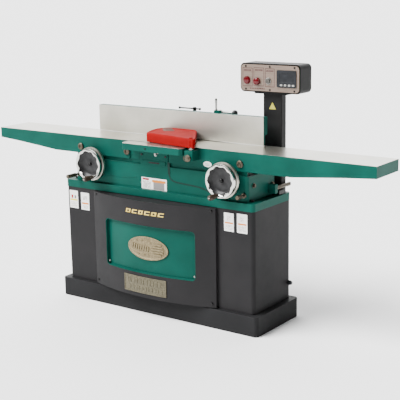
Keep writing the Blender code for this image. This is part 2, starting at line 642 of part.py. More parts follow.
def make_guard():
    px, py = GUARD_PIVOT
    top = prism(GUARD_PLAN, "z", GUARD_LOW, GUARD_TOP)
    skirt = prism([(-46, -141), (250, -187), (256, -176), (246, -170), (-44, -134.5)], "z", GUARD_SKIRT,
                  GUARD_LOW + 4)
    strip = box(-80, 260, -139.5, -120, 800, GUARD_LOW)
    cx, cy = 70.0, -80.0
    inner = [(cx + (x - cx) * 0.93, cy + (y - cy) * 0.9) for x, y in GUARD_PLAN]
    hollow = prism(inner, "z", GUARD_LOW - 20, GUARD_TOP - 6)
    boss = rod("z", px, py, 14, GUARD_SKIRT + 0.5, GUARD_TOP - 3, 24)
    ob = solid("guard", "red", [top, skirt], [strip, hollow])
    add_step(ob, "UNION", boss, "boss")
    add_step(ob, "DIFFERENCE", rod("z", px, py, 8 + RUN, GUARD_SKIRT - 5, GUARD_TOP - 8, 24), "bore")
    move_origin(ob, (px, py, 0))


def add_step(ob, kind, shape, label):
    tool = raw_object(f"tool_{ob.name}_{label}", shape, tool_collection())
    tool.hide_render = True
    tool.display_type = "WIRE"
    mod = ob.modifiers.new(label, "BOOLEAN")
    mod.operation = kind
    mod.solver = "EXACT"
    mod.object = tool


def make_guard_mount():
    px, py = GUARD_PIVOT
    block = box(212, 256, -198, TABLE_Y0 - 0.4, 758, 802)
    bore = rod("z", px, py, 8 + RUN, 770, 810, 24)
    knob_hole = rod("y", KNOB_X, KNOB_Z, 4 + RUN, -205, -184, 16)
    solid("guard_bracket", "black", [block], [bore, knob_hole])
    pin = lathe([(0, 770.5), (8, 770.5), (8, 803), (12, 803), (12, 808), (8, 808), (8, GUARD_TOP - 8.5),
                 (0, GUARD_TOP - 8.5)], "z", px, py, 24)
    solid("guard_spindle", "steel", [pin], smooth=True, origin=(px, py, 780))
    hub = rod("y", KNOB_X, KNOB_Z, 10, -214, -198.5, 16)
    screw = rod("y", KNOB_X, KNOB_Z, 4, -200, -185, 12)
    wings = rod("y", KNOB_X, KNOB_Z, 15, -217, -206, 8)
    solid("guard_knob", "steel", [hub, screw, wings], origin=(KNOB_X, 0, KNOB_Z))


# ---- controls ---------------------------------------------------------------------------
def make_post():
    x0, x1, y0, y1 = POST
    tube = prism(rounded(x0, x1, y0, y1, 4, 3), "z", FLANGE_Z1 + 0.4, 1036)
    head = box(x0 - 36, x1 + 36, y0 - 16, y1 + 8, 1033, 1039.6)
    bore = prism(rounded(x0 + 4, x1 - 4, y0 + 4, y1 - 4, 2, 2), "z", 580, 1050)
    solid("post", "dark", [tube, head], [bore])


BUTTONS = {"stop_button": (357.0, 1092.0, 14.5), "emergency_stop": (411.0, 1089.0, 15.5),
           "start_button": (468.0, 1092.0, 11.5)}
KEY_XS = (537.0, 557.0, 577.0, 597.0)
KEY_Z = 1077.5
DISPLAY = (513.0, 611.0, 1067.0, 1142.0)


def make_control_box():
    x0, x1, y0, y1, z0, z1 = BOX
    shell = prism(rounded(x0, x1, z0, z1, 20), "y", y0, y1)
    room = prism(rounded(x0 + 3, x1 - 3, z0 + 3, z1 - 3, 17), "y", y0 - 5, y1 - 3)
    cable = prism(rounded(440, 507, 121, 149, 4, 2), "z", z0 - 5, z0 + 8)
    solid("control_box", "dark", [shell], [room, cable])
    plate = prism(rounded(x0 + 6, x1 - 6, z0 + 6, z1 - 6, 16), "y", PLATE_Y, y0 - 0.3)
    holes = [rod("y", x, z, 8 + RUN, PLATE_Y - 5, y0 + 5, 24) for x, z, r in BUTTONS.values()]
    dx0, dx1, dz0, dz1 = DISPLAY
    holes.append(box(dx0 + 6, dx1 - 6, PLATE_Y - 5, y0 + 5, dz0 + 5, dz1 - 5))
    solid("face_plate", "plate", [plate], holes)
    bezel = prism(rounded(dx0, dx1, dz0, dz1, 5, 3), "y", PLATE_Y - 4.3, PLATE_Y - 0.3)
    module = box(dx0 + 7, dx1 - 7, PLATE_Y - 1, y0 + 14, dz0 + 6, dz1 - 6)
    keys = [box(x - 6 - RUN, x + 6 + RUN, PLATE_Y - 10, PLATE_Y + 2, KEY_Z - 4 - RUN, KEY_Z + 4 + RUN)
            for x in KEY_XS]
    window = box(dx0 + 14, dx1 - 11, PLATE_Y - 10, PLATE_Y - 3.3, 1090, 1128)
    solid("display_unit", "dark", [bezel, module], keys + [window])
    solid("control_board", "board", [box(345, 605, 128, 131, 1052, 1156), box(400, 470, 131, 158, 1070, 1140)])


def make_buttons():
    y0 = PLATE_Y
    for name, (x, z, r) in BUTTONS.items():
        reach = {"stop_button": 10, "emergency_stop": 17, "start_button": 9}[name]
        rim = y0 - reach + 5.5
        cap = lathe([(0, y0 - reach), (r - 2, y0 - reach), (r, y0 - reach + 3), (r, rim), (0, rim)], "y", x, z, 24)
        stem = rod("y", x, z, 8, y0 - reach + 3, y0 + 24, 24)
        solid(name, "steel" if name == "start_button" else "red", [cap, stem], smooth=False)
    for i, x in enumerate(KEY_XS):
        solid(f"display_key_{i + 1}", "white",
              [box(x - 6, x + 6, PLATE_Y - 5.8, PLATE_Y + 0.6, KEY_Z - 4, KEY_Z + 4)])


def main():
    clear_scene()
    make_plinth()
    make_cabinet()
    make_bow_panel()
    make_recess_panel()
    make_badges()
    make_cable_gland()
    make_base_casting()
    bases = link_base_xs()
    make_gearbox("elevation_gearbox_outfeed", WHEEL_XL, bases[0])
    make_gearbox("elevation_gearbox_infeed", WHEEL_XR, bases[2])
    make_outfeed_table()
    make_infeed_table()
    make_link("outfeed_link_a", OUT_PINS[0], 1)
    make_link("outfeed_link_b", OUT_PINS[1], 1)
    make_link("infeed_link_a", IN_PINS[0], -1)
    make_link("infeed_link_b", IN_PINS[1], -1)
    make_bearings()
    make_cutterhead()
    make_pulley("cutterhead_pulley", HEAD_X, HEAD_Z, HEAD_PULLEY_R, HEAD_SHAFT_R)
    make_pulley("motor_pulley", MOTOR_X, MOTOR_Z, MOTOR_PULLEY_R, 12)
    make_belt()
    make_belt_cover()
    make_motor()
    make_dust_path()
    make_handwheel("left", WHEEL_XL, GRIP_ANGLE_L)
    make_handwheel("right", WHEEL_XR, GRIP_ANGLE_R)
    make_table_lock("table_lock_left", -464, -232)
    make_table_lock("table_lock_right", 488, -197)
    make_rear_lock()
    make_fence()
    make_fence_controls()
    make_carriage()
    make_slide_base()
    make_guard()
    make_guard_mount()
    make_post()
    make_control_box()
    make_buttons()


main()
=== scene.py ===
"""Finished look of the parallelogram surface planer: materials, softened castings and fittings."""
import json
import math

import bmesh
import bpy
from mathutils import Matrix, Vector


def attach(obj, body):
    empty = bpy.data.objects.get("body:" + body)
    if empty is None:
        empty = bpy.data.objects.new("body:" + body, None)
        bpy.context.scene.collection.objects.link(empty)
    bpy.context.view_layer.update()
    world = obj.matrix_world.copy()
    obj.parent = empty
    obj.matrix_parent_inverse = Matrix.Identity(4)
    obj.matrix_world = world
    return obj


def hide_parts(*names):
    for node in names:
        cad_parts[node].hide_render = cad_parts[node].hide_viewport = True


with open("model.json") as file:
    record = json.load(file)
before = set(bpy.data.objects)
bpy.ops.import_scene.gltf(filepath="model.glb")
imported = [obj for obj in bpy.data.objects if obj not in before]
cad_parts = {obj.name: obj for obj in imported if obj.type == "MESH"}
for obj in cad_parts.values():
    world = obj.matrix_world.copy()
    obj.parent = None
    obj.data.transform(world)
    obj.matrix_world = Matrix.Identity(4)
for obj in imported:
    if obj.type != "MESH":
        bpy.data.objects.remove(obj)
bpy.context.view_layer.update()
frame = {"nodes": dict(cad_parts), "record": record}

MM = 0.001
BODY_OF = {node: body for body, nodes in frame["record"]["behaviour"]["bodies"].items() for node in nodes}


# ---- material tools ------------------------------------------------------------
def linear(code):
    """sRGB hex to the linear colour that a socket wants."""
    parts = [int(code[i:i + 2], 16) / 255 for i in (1, 3, 5)]
    return tuple(c / 12.92 if c <= 0.04045 else ((c + 0.055) / 1.055) ** 2.4 for c in parts) + (1.0,)


def add(tree, kind, inputs=(), **settings):
    """One node: settings are its properties, inputs are values or the sockets that feed it."""
    node = tree.nodes.new(kind)
    for key, value in settings.items():
        setattr(node, key, value)
    for key, value in dict(inputs).items():
        if isinstance(value, bpy.types.NodeSocket):
            tree.links.new(value, node.inputs[key])
        else:
            node.inputs[key].default_value = value
    return node


def finish_of(name, base, rough, metal=0.0, coat=0.0, ior=None):
    """A new material with its shader; returns the material, its tree, the shader and Object coordinates."""
    mat = bpy.data.materials.new(name)
    mat.use_nodes = True
    tree = mat.node_tree
    shader = tree.nodes["Principled BSDF"]
    shader.inputs["Base Color"].default_value = linear(base)
    shader.inputs["Roughness"].default_value = rough
    shader.inputs["Metallic"].default_value = metal
    shader.inputs["Coat Weight"].default_value = coat
    if not metal:
        shader.inputs["Specular IOR Level"].default_value = 0.06
    if ior:
        shader.inputs["IOR"].default_value = ior
    where = add(tree, "ShaderNodeTexCoord").outputs["Object"]
    return mat, tree, shader, where


def noise(tree, where, size_mm, detail=3.0, stretch=(1, 1, 1)):
    """Noise whose blobs are about size_mm across, drawn out along an axis by stretch."""
    scale = tuple(1000.0 / (size_mm * s) for s in stretch)
    spot = add(tree, "ShaderNodeMapping", {"Vector": where, "Scale": scale}).outputs["Vector"]
    return add(tree, "ShaderNodeTexNoise", {"Vector": spot, "Scale": 1.0, "Detail": detail}).outputs["Fac"]


def shades(tree, fac, dark, light, low=0.3, high=0.7):
    ramp = add(tree, "ShaderNodeValToRGB", {"Fac": fac})
    ramp.color_ramp.elements[0].position, ramp.color_ramp.elements[1].position = low, high
    ramp.color_ramp.elements[0].color, ramp.color_ramp.elements[1].color = linear(dark), linear(light)
    return ramp.outputs["Color"]


def spread(tree, fac, low, high, a=0.0, b=1.0):
    return add(tree, "ShaderNodeMapRange", {"Value": fac, "From Min": a, "From Max": b, "To Min": low,
                                            "To Max": high}).outputs["Result"]


def bumps(tree, shader, fac, depth_mm, strength=1.0):
    bump = add(tree, "ShaderNodeBump", {"Height": fac, "Distance": depth_mm * MM, "Strength": strength})
    tree.links.new(bump.outputs["Normal"], shader.inputs["Normal"])
    return bump


GREEN_DARK, GREEN_LIGHT = "#043d34", "#084a40"


# Alkyd enamel over as-cast iron: a satin green skin with the sand's faint lumps under it.
def casting_enamel(name="casting_enamel", dark=GREEN_DARK, light=GREEN_LIGHT):
    mat, tree, shader, where = finish_of(name, dark, 0.42, ior=1.5)
    tree.links.new(shades(tree, noise(tree, where, 160, 4), dark, light), shader.inputs["Base Color"])
    tree.links.new(spread(tree, noise(tree, where, 40), 0.34, 0.52), shader.inputs["Roughness"])
    bumps(tree, shader, noise(tree, where, 7, 4), 0.35, 0.5)
    return mat


# Powder coat on pressed steel: even colour, and a fine orange-peel that breaks up the shine.
def powder_coat(name, dark, light, rough=0.48, peel_mm=3.0, depth=0.12):
    mat, tree, shader, where = finish_of(name, dark, rough, ior=1.5)
    tree.links.new(shades(tree, noise(tree, where, 220, 5), dark, light), shader.inputs["Base Color"])
    tree.links.new(spread(tree, noise(tree, where, 30), rough - 0.06, rough + 0.08), shader.inputs["Roughness"])
    bumps(tree, shader, noise(tree, where, peel_mm, 2), depth, 0.6)
    return mat


def ground_lines(tree, where, axis_stretch):
    """Belt-ground scratches, 1.6 mm apart (really 0.2 mm) so that they can be seen."""
    return noise(tree, where, 1.6, 2, axis_stretch)


# Surface-ground grey iron: bright, slightly warm, long scratches along the bed and oily clouding.
def ground_iron(name, stretch, enamel_where, gloss):
    """enamel_where(tree, normal parts, where) gives a 0..1 mask of the faces that are painted green."""
    mat, tree, shader, where = finish_of(name, "#b9b7ad", 0.5, metal=1.0)
    cloud = noise(tree, where, 130, 5)
    lines = ground_lines(tree, where, stretch)
    iron = shades(tree, cloud, "#b4b1a6", "#cfcdc4", 0.25, 0.75)
    tint = add(tree, "ShaderNodeMix", {0: spread(tree, lines, 0.0, 0.28), 6: iron, 7: linear("#8f8c82")},
               data_type="RGBA").outputs[2]
    rough = spread(tree, cloud, *gloss)
    height = lines
    metal = 1.0
    if enamel_where:
        normal = add(tree, "ShaderNodeTexCoord").outputs["Normal"]
        mask = enamel_where(tree, add(tree, "ShaderNodeSeparateXYZ", {0: normal}).outputs,
                            add(tree, "ShaderNodeSeparateXYZ", {0: where}).outputs)
        green = shades(tree, noise(tree, where, 160, 4), GREEN_DARK, GREEN_LIGHT)
        shader.inputs["Specular IOR Level"].default_value = 0.06
        tint = add(tree, "ShaderNodeMix", {0: mask, 6: tint, 7: green}, data_type="RGBA").outputs[2]
        rough = add(tree, "ShaderNodeMix", {0: mask, 2: rough, 3: 0.42}).outputs[0]
        height = add(tree, "ShaderNodeMix", {0: mask, 2: lines, 3: noise(tree, where, 7, 4)}).outputs[0]
        metal = spread(tree, mask, 1.0, 0.0)
        tree.links.new(metal, shader.inputs["Metallic"])
    tree.links.new(tint, shader.inputs["Base Color"])
    tree.links.new(rough, shader.inputs["Roughness"])
    bumps(tree, shader, height, 0.05, 0.35)
    return mat


def compare(tree, value, limit, way="GREATER_THAN"):
    return add(tree, "ShaderNodeMath", {0: value, 1: limit}, operation=way).outputs[0]


def table_mask(tree, facing, place):
    """Everything but the level top face is painted."""
    level = compare(tree, facing[2], 0.6)
    high = compare(tree, place[2], 0.8085)
    top = add(tree, "ShaderNodeMath", {0: level, 1: high}, operation="MULTIPLY").outputs[0]
    return add(tree, "ShaderNodeMath", {0: 1.0, 1: top}, operation="SUBTRACT").outputs[0]


def fence_mask(tree, facing, place):
    """Only the working face is ground; its edges, ribs and back are painted."""
    front = compare(tree, facing[1], -0.6, "LESS_THAN")
    near = compare(tree, place[1], 0.0345, "LESS_THAN")
    face = add(tree, "ShaderNodeMath", {0: front, 1: near}, operation="MULTIPLY").outputs[0]
    return add(tree, "ShaderNodeMath", {0: 1.0, 1: face}, operation="SUBTRACT").outputs[0]


# Turned or plated steel: clean metal with faint tool rings and a little cloud in its gloss.
def worked_metal(name, dark, light, rough, ring_mm=1.2, depth=0.02):
    mat, tree, shader, where = finish_of(name, light, rough, metal=1.0)
    tree.links.new(shades(tree, noise(tree, where, 35, 4), dark, light), shader.inputs["Base Color"])
    tree.links.new(spread(tree, noise(tree, where, 9, 3), rough * 0.75, rough * 1.35), shader.inputs["Roughness"])
    bumps(tree, shader, noise(tree, where, ring_mm, 2), depth, 0.5)
    return mat


# Hot-dip galvanised sheet: flat crystals (spangle), 12 mm across, each with its own grey.
def spangled_zinc():
    mat, tree, shader, where = finish_of("galvanised_sheet", "#9aa0a3", 0.42, metal=1.0)
    spot = add(tree, "ShaderNodeTexVoronoi", {"Vector": where, "Scale": 1000 / 12})
    grey = add(tree, "ShaderNodeSeparateColor", {0: spot.outputs["Color"]}).outputs[0]
    tree.links.new(shades(tree, grey, "#84898c", "#a9aeb0", 0.0, 1.0), shader.inputs["Base Color"])
    tree.links.new(spread(tree, grey, 0.33, 0.5), shader.inputs["Roughness"])
    return mat


# Moulded plastic (ABS, phenolic, nylon): soft sheen with a spark-eroded grain.
def moulded(name, dark, light, rough, grain_mm=1.5, depth=0.05, coat=0.0):
    mat, tree, shader, where = finish_of(name, light, rough, coat=coat, ior=1.53)
    shader.inputs["Specular IOR Level"].default_value = 0.16
    tree.links.new(shades(tree, noise(tree, where, 18, 3), dark, light), shader.inputs["Base Color"])
    bumps(tree, shader, noise(tree, where, grain_mm, 2), depth, 0.5)
    return mat


# Die-cast plate with a pewter wash: raised parts rubbed bright, hollows left dark brown.
def antique_plate(name, dark, light):
    mat, tree, shader, where = finish_of(name, dark, 0.42, metal=0.6)
    grit = noise(tree, where, 5, 5)
    tree.links.new(shades(tree, grit, dark, light, 0.3, 0.7), shader.inputs["Base Color"])
    tree.links.new(spread(tree, grit, 0.38, 0.6), shader.inputs["Roughness"])
    bumps(tree, shader, noise(tree, where, 3, 4), 0.5, 0.7)
    return mat


# Printed circuit board: solder mask over copper tracks laid on a square grid.
def circuit():
    mat, tree, shader, where = finish_of("solder_mask_laminate", "#0e5a2c", 0.35)
    spot = add(tree, "ShaderNodeTexVoronoi", {"Vector": where, "Scale": 1000 / 8}, distance="CHEBYCHEV")
    tree.links.new(shades(tree, spot.outputs["Distance"], "#2f8a4a", "#0e5a2c", 0.10, 0.16), shader.inputs["Base Color"])
    return mat


ENAMEL = casting_enamel()
DOOR = powder_coat("panel_powder_coat_green", "#033d34", "#07483e", 0.36, 4, 0.08)
CABINET = powder_coat("cabinet_powder_coat_grey", "#1f1f20", "#262526", 0.46)
PLINTH = powder_coat("plinth_powder_coat_charcoal", "#1b1b1c", "#222223", 0.5)
BLACK_COAT = powder_coat("post_powder_coat_black", "#1c1c1c", "#232323", 0.45)
TABLE_IRON = ground_iron("ground_table_iron", (90, 1, 90), table_mask, (0.26, 0.38))
FENCE_IRON = ground_iron("ground_fence_iron", (90, 90, 1), fence_mask, (0.46, 0.58))
POLISHED = worked_metal("polished_steel_rim", "#b9b9b4", "#d9d9d4", 0.16)
RING = worked_metal("satin_nickel_ring", "#a09c92", "#bab6ab", 0.34)
STEEL = worked_metal("turned_steel", "#8b8a86", "#a9a8a3", 0.3)
BOLT = worked_metal("aged_zinc_steel", "#453f36", "#625a4e", 0.45, 3, 0.06)
OXIDE = worked_metal("black_oxide_steel", "#232323", "#343434", 0.38, 3, 0.05)
CHROME = worked_metal("chrome_plate", "#6a6a68", "#80807e", 0.2)
CARBIDE = worked_metal("ground_carbide", "#6b6c70", "#8a8b8f", 0.22)
ZINC = spangled_zinc()
PEWTER = antique_plate("pewter_wash", "#443f31", "#6f6954")
BADGE = antique_plate("bronze_wash", "#5d513a", "#8f8262")
PHENOLIC = moulded("black_phenolic", "#1f1f20", "#2b2b2c", 0.32)
GRIP = moulded("grip_phenolic", "#2a221b", "#3a3027", 0.42)
RED_COAT = powder_coat("guard_powder_coat_red", "#740103", "#8a0406", 0.6, 4, 0.06)
RED_PLASTIC = moulded("red_polycarbonate", "#45030a", "#5e0610", 0.2, 3, 0.01, 0.3)
GREY_PLASTIC = moulded("grey_abs", "#45433f", "#5d5a55", 0.35)
WHITE_KEY = moulded("white_silicone_key", "#8f8f8b", "#a6a6a2", 0.5)
BEZEL = moulded("black_abs", "#17191c", "#222428", 0.38)
RUBBER = moulded("ribbed_neoprene", "#141414", "#202020", 0.75, 2, 0.1)
BOARD = circuit()


# ---- mesh tools: lists of (points, faces) in millimetres ---------------------------
def turn(axis, a, b, c):
    return {"z": (a, b, c), "y": (a, c, b), "x": (c, a, b)}[axis]


def prism(points, axis, c0, c1):
    n = len(points)
    v = [turn(axis, a, b, c0) for a, b in points] + [turn(axis, a, b, c1) for a, b in points]
    return v, [tuple(range(n)), tuple(range(2 * n - 1, n - 1, -1))] + \
        [(i, n + i, n + (i + 1) % n, (i + 1) % n) for i in range(n)]


def slab(x0, x1, y0, y1, z0, z1):
    return prism([(x0, y0), (x1, y0), (x1, y1), (x0, y1)], "z", z0, z1)


def ring_points(cx, cy, r, n, start=0.0):
    return [(cx + r * math.cos(start + 2 * math.pi * i / n), cy + r * math.sin(start + 2 * math.pi * i / n))
            for i in range(n)]


def rounded(a0, a1, b0, b1, r, n=5):
    out = []
    for cx, cy, start in ((a1 - r, b1 - r, 0), (a0 + r, b1 - r, 90), (a0 + r, b0 + r, 180), (a1 - r, b0 + r, 270)):
        for i in range(n + 1):
            t = math.radians(start + 90 * i / n)
            out.append((cx + r * math.cos(t), cy + r * math.sin(t)))
    return out


def lathe(profile, axis, a, b, n=48, wave=None):
    """Solid of revolution from (radius, along) pairs; wave(ring, angle) scales a ring's radius."""
    v, f, rings = [], [], []
    for k, (r, c) in enumerate(profile):
        rings.append(list(range(len(v), len(v) + (1 if r < 1e-6 else n))))
        for i in range(len(rings[-1])):
            t = 2 * math.pi * i / n
            q = r * (wave(k, t) if wave else 1.0)
            v.append(turn(axis, a + q * math.cos(t), b + q * math.sin(t), c))
    for low, high in zip(rings, rings[1:]):
        for i in range(n):
            j = (i + 1) % n
            quad = list(dict.fromkeys([low[i % len(low)], low[j % len(low)], high[j % len(high)], high[i % len(high)]]))
            if len(quad) > 2:
                f.append(tuple(quad))
    return v, f


def hoop(profile, axis, a, b, n=48, wave=None):
    """Closed ring: the profile's last point joins its first."""
    v, f, m = [], [], len(profile)
    for k, (r, c) in enumerate(profile):
        for i in range(n):
            t = 2 * math.pi * i / n
            q = r * (wave(k, t) if wave else 1.0)
            v.append(turn(axis, a + q * math.cos(t), b + q * math.sin(t), c))
    for k in range(m):
        for i in range(n):
            j, l = (i + 1) % n, (k + 1) % m
            f.append((k * n + i, k * n + j, l * n + j, l * n + i))
    return v, f


def loft(sections):
    """Closed skin over sections that hold the same number of points."""
    n, v, f = len(sections[0]), [p for s in sections for p in s], []
    for k in range(len(sections) - 1):
        f += [(k * n + i, k * n + (i + 1) % n, (k + 1) * n + (i + 1) % n, (k + 1) * n + i) for i in range(n)]
    return v, f + [tuple(range(n - 1, -1, -1)), tuple(range((len(sections) - 1) * n, len(sections) * n))]


def made_plain(ob):
    """Applies every modifier and leaves a plain mesh."""
    mesh = bpy.data.meshes.new_from_object(ob.evaluated_get(bpy.context.evaluated_depsgraph_get()))
    ob.modifiers.clear()
    ob.data = mesh
    return ob


def soften(ob, width_mm, angle=35, segments=2):
    """Rounded edges, with the shading kept flat on the large faces."""
    for face in ob.data.polygons:
        face.use_smooth = True
    if not width_mm:
        ob.data.set_sharp_from_angle(angle=math.radians(angle))
        return ob
    mod = ob.modifiers.new("edges", "BEVEL")
    mod.width, mod.segments, mod.limit_method = width_mm * MM, segments, "ANGLE"
    mod.angle_limit, mod.harden_normals = math.radians(angle), False
    mod.use_clamp_overlap = True
    even = ob.modifiers.new("even", "WEIGHTED_NORMAL")
    even.mode, even.weight, even.keep_sharp = "FACE_AREA", 90, True
    made_plain(ob)
    return ob


def show(ob, material, body, stands_for=()):
    ob.data.materials.clear()
    ob.data.materials.append(material)
    if ob.name not in bpy.context.scene.collection.objects:
        bpy.context.scene.collection.objects.link(ob)
    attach(ob, body)
    if stands_for:
        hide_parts(*stands_for)
    return ob


def make(name, shapes, material, body, edge=0.6, stands_for=(), angle=35, segments=2):
    """A finished piece from closed shapes in millimetres, its edges rounded by edge."""
    bm = bmesh.new()
    for verts, faces in shapes:
        made = [bm.verts.new((x * MM, y * MM, z * MM)) for x, y, z in verts]
        for face in faces:
            bm.faces.new([made[i] for i in face])
    bmesh.ops.recalc_face_normals(bm, faces=bm.faces)
    mesh = bpy.data.meshes.new(name)
    bm.to_mesh(mesh)
    bm.free()
    ob = bpy.data.objects.new(name, mesh)
    bpy.context.scene.collection.objects.link(ob)
    soften(ob, edge, angle, segments)
    return show(ob, material, body, stands_for)


def dress(node, material, edge=0.8, angle=35):
    """A CAD node's own shape with its edges rounded, in its finish."""
    bm = bmesh.new()
    bm.from_mesh(frame["nodes"][node].data)
    bmesh.ops.remove_doubles(bm, verts=bm.verts, dist=2e-6)
    bmesh.ops.dissolve_limit(bm, angle_limit=math.radians(1.0), verts=bm.verts, edges=bm.edges)
    for v in [v for v in bm.verts if len(v.link_edges) == 2 and v.calc_edge_angle(0.0) < math.radians(0.5)]:
        bmesh.ops.dissolve_verts(bm, verts=[v])
    mesh = bpy.data.meshes.new(node + "_finished")
    bm.to_mesh(mesh)
    bm.free()
    ob = bpy.data.objects.new(node + "_finished", mesh)
    bpy.context.scene.collection.objects.link(ob)
    soften(ob, edge, angle)
    return show(ob, material, BODY_OF[node], (node,))


# ---- camera, light and floor ---------------------------------------------------------
def stand_camera():
    """Camera at the corner past the infeed end, a little above the tables."""
    yaw, pitch, roll = -0.6273, 0.2209, -0.0159
    ahead = Vector((math.sin(yaw) * math.cos(pitch), math.cos(yaw) * math.cos(pitch), -math.sin(pitch)))
    right = Vector((ahead.y, -ahead.x, 0)).normalized()
    up = right.cross(ahead)
    across = right * math.cos(roll) + up * math.sin(roll)
    upward = up * math.cos(roll) - right * math.sin(roll)
    data = bpy.data.cameras.new("camera")
    data.lens, data.sensor_width = 88.82, 36.0
    data.clip_start, data.clip_end = 0.1, 400
    cam = bpy.data.objects.new("camera", data)
    bpy.context.scene.collection.objects.link(cam)
    cam.matrix_world = Matrix.Translation((2.7702, -3.6143, 1.5373)) @ \
        Matrix((across, upward, -ahead)).transposed().to_4x4()
    bpy.context.scene.camera = cam


def light_studio():
    """A wide soft lamp from the front left, a bright wall beyond the tables and a pale floor."""
    world = bpy.data.worlds.new("studio")
    world.use_nodes = True
    bpy.context.scene.world = world
    tree = world.node_tree
    way = add(tree, "ShaderNodeTexCoord").outputs["Generated"]
    wall = add(tree, "ShaderNodeVectorMath", {0: way, 1: (-0.58, 0.79, 0.2)}, operation="DOT_PRODUCT").outputs["Value"]
    glow = spread(tree, wall, WALL_DIM, WALL_BRIGHT, 0.25, 0.85)
    tree.links.new(glow, tree.nodes["Background"].inputs["Strength"])
    tree.nodes["Background"].inputs["Color"].default_value = linear("#ffffff")
    sun = bpy.data.lights.new("softbox", "SUN")
    sun.energy, sun.angle = SOFTBOX, math.radians(40)
    ob = bpy.data.objects.new("softbox", sun)
    bpy.context.scene.collection.objects.link(ob)
    ob.rotation_euler = Vector(SOFTBOX_FROM).to_track_quat("Z", "Y").to_euler()
    mesh = bpy.data.meshes.new("floor")
    mesh.from_pydata([(-150, -150, 0), (150, -150, 0), (150, 150, 0), (-150, 150, 0)], [], [(0, 1, 2, 3)])
    floor = bpy.data.objects.new("floor", mesh)
    bpy.context.scene.collection.objects.link(floor)
    mat, tree, shader, where = finish_of("painted_studio_floor", "#fafafa", 0.9)
    mesh.materials.append(mat)


WALL_DIM, WALL_BRIGHT = 0.12, 4.4
SOFTBOX, SOFTBOX_FROM = 10.4, (-0.42, -0.5, 0.757)


# ---- repeated parts, made with node trees ------------------------------------------------
def tree_of(name, inputs):
    """Empty geometry tree with a geometry in and out and the named inputs (name, kind, default)."""
    tree = bpy.data.node_groups.new(name, "GeometryNodeTree")
    tree.interface.new_socket("Geometry", in_out="INPUT", socket_type="NodeSocketGeometry")
    tree.interface.new_socket("Geometry", in_out="OUTPUT", socket_type="NodeSocketGeometry")
    for label, kind, value in inputs:
        made = tree.interface.new_socket(label, in_out="INPUT", socket_type="NodeSocket" + kind)
        if value is not None:
            made.default_value = value
    return tree, add(tree, "NodeGroupInput").outputs


def grown(name, tree, values, points, body, material, angle=35):
    """Runs a tree on points in millimetres and leaves a plain finished piece."""
    mesh = bpy.data.meshes.new(name)
    mesh.from_pydata([(x * MM, y * MM, z * MM) for x, y, z in points], [], [])
    ob = bpy.data.objects.new(name, mesh)
    bpy.context.scene.collection.objects.link(ob)
    mod = ob.modifiers.new("grown", "NODES")
    mod.node_group = tree
    for item in tree.interface.items_tree:
        if item.in_out == "INPUT" and item.name in values:
            mod[item.identifier] = values[item.name]
    made_plain(ob)
    soften(ob, 0, angle)
    return show(ob, material, body)


def head_tree(name, sides):
    """A fastener head at every point: a washer, a head with the given sides, and a smaller crown raised on it."""
    tree, given = tree_of(name, [
        ("Washer radius", "Float", 0.009), ("Washer height", "Float", 0.0015), ("Head radius", "Float", 0.006),
        ("Head height", "Float", 0.005), ("Crown", "Float", 0.6), ("Turn", "Vector", (0, 0, 0)),
        ("Material", "Material", None)])
    washer = add(tree, "GeometryNodeMeshCylinder", {"Vertices": 20, "Radius": given["Washer radius"],
                                                    "Depth": given["Washer height"]}, fill_type="NGON").outputs["Mesh"]
    head = add(tree, "GeometryNodeMeshCylinder", {"Vertices": sides, "Radius": given["Head radius"],
                                                  "Depth": given["Head height"]}, fill_type="NGON").outputs["Mesh"]
    lift = add(tree, "ShaderNodeCombineXYZ", {"Z": add(tree, "ShaderNodeMath", {
        0: given["Washer height"], 1: add(tree, "ShaderNodeMath", {0: given["Head height"], 1: 0.5}, operation="MULTIPLY").outputs[0]},
        operation="ADD").outputs[0]}).outputs[0]
    head = add(tree, "GeometryNodeTransform", {"Geometry": head, "Translation": lift}).outputs[0]
    top = add(tree, "GeometryNodeMeshCylinder", {
        "Vertices": sides, "Radius": add(tree, "ShaderNodeMath", {0: given["Head radius"], 1: given["Crown"]}, operation="MULTIPLY").outputs[0],
        "Depth": given["Head height"]}, fill_type="NGON").outputs["Mesh"]
    lift_top = add(tree, "ShaderNodeCombineXYZ", {"Z": add(tree, "ShaderNodeMath", {
        0: given["Washer height"], 1: add(tree, "ShaderNodeMath", {0: given["Head height"], 1: 0.72}, operation="MULTIPLY").outputs[0]},
        operation="ADD").outputs[0]}).outputs[0]
    top = add(tree, "GeometryNodeTransform", {"Geometry": top, "Translation": lift_top}).outputs[0]
    whole = add(tree, "GeometryNodeJoinGeometry", {}).inputs[0]
    for part in (washer, head, top):
        tree.links.new(part, whole)
    spin = add(tree, "FunctionNodeEulerToRotation", {0: given["Turn"]}).outputs[0]
    placed = add(tree, "GeometryNodeInstanceOnPoints", {
        "Points": add(tree, "GeometryNodeMeshToPoints", {"Mesh": given["Geometry"]}).outputs[0],
        "Instance": whole.node.outputs[0], "Rotation": spin}).outputs[0]
    real = add(tree, "GeometryNodeRealizeInstances", {"Geometry": placed}).outputs[0]
    done = add(tree, "GeometryNodeSetMaterial", {"Geometry": real, "Material": given["Material"]}).outputs[0]
    add(tree, "NodeGroupOutput", {"Geometry": done})
    return tree


FACING = {"-y": (math.pi / 2, 0, 0), "+y": (-math.pi / 2, 0, 0), "+x": (0, math.pi / 2, 0),
          "-x": (0, -math.pi / 2, 0), "+z": (0, 0, 0)}


def heads(name, tree, points, body, facing, washer, head, height, material, washer_t=1.2, crown=0.7):
    return grown(name, tree, {"Washer radius": washer * MM, "Washer height": washer_t * MM, "Head radius": head * MM,
                              "Head height": height * MM, "Crown": crown, "Turn": FACING[facing],
                              "Material": material}, points, body, material)


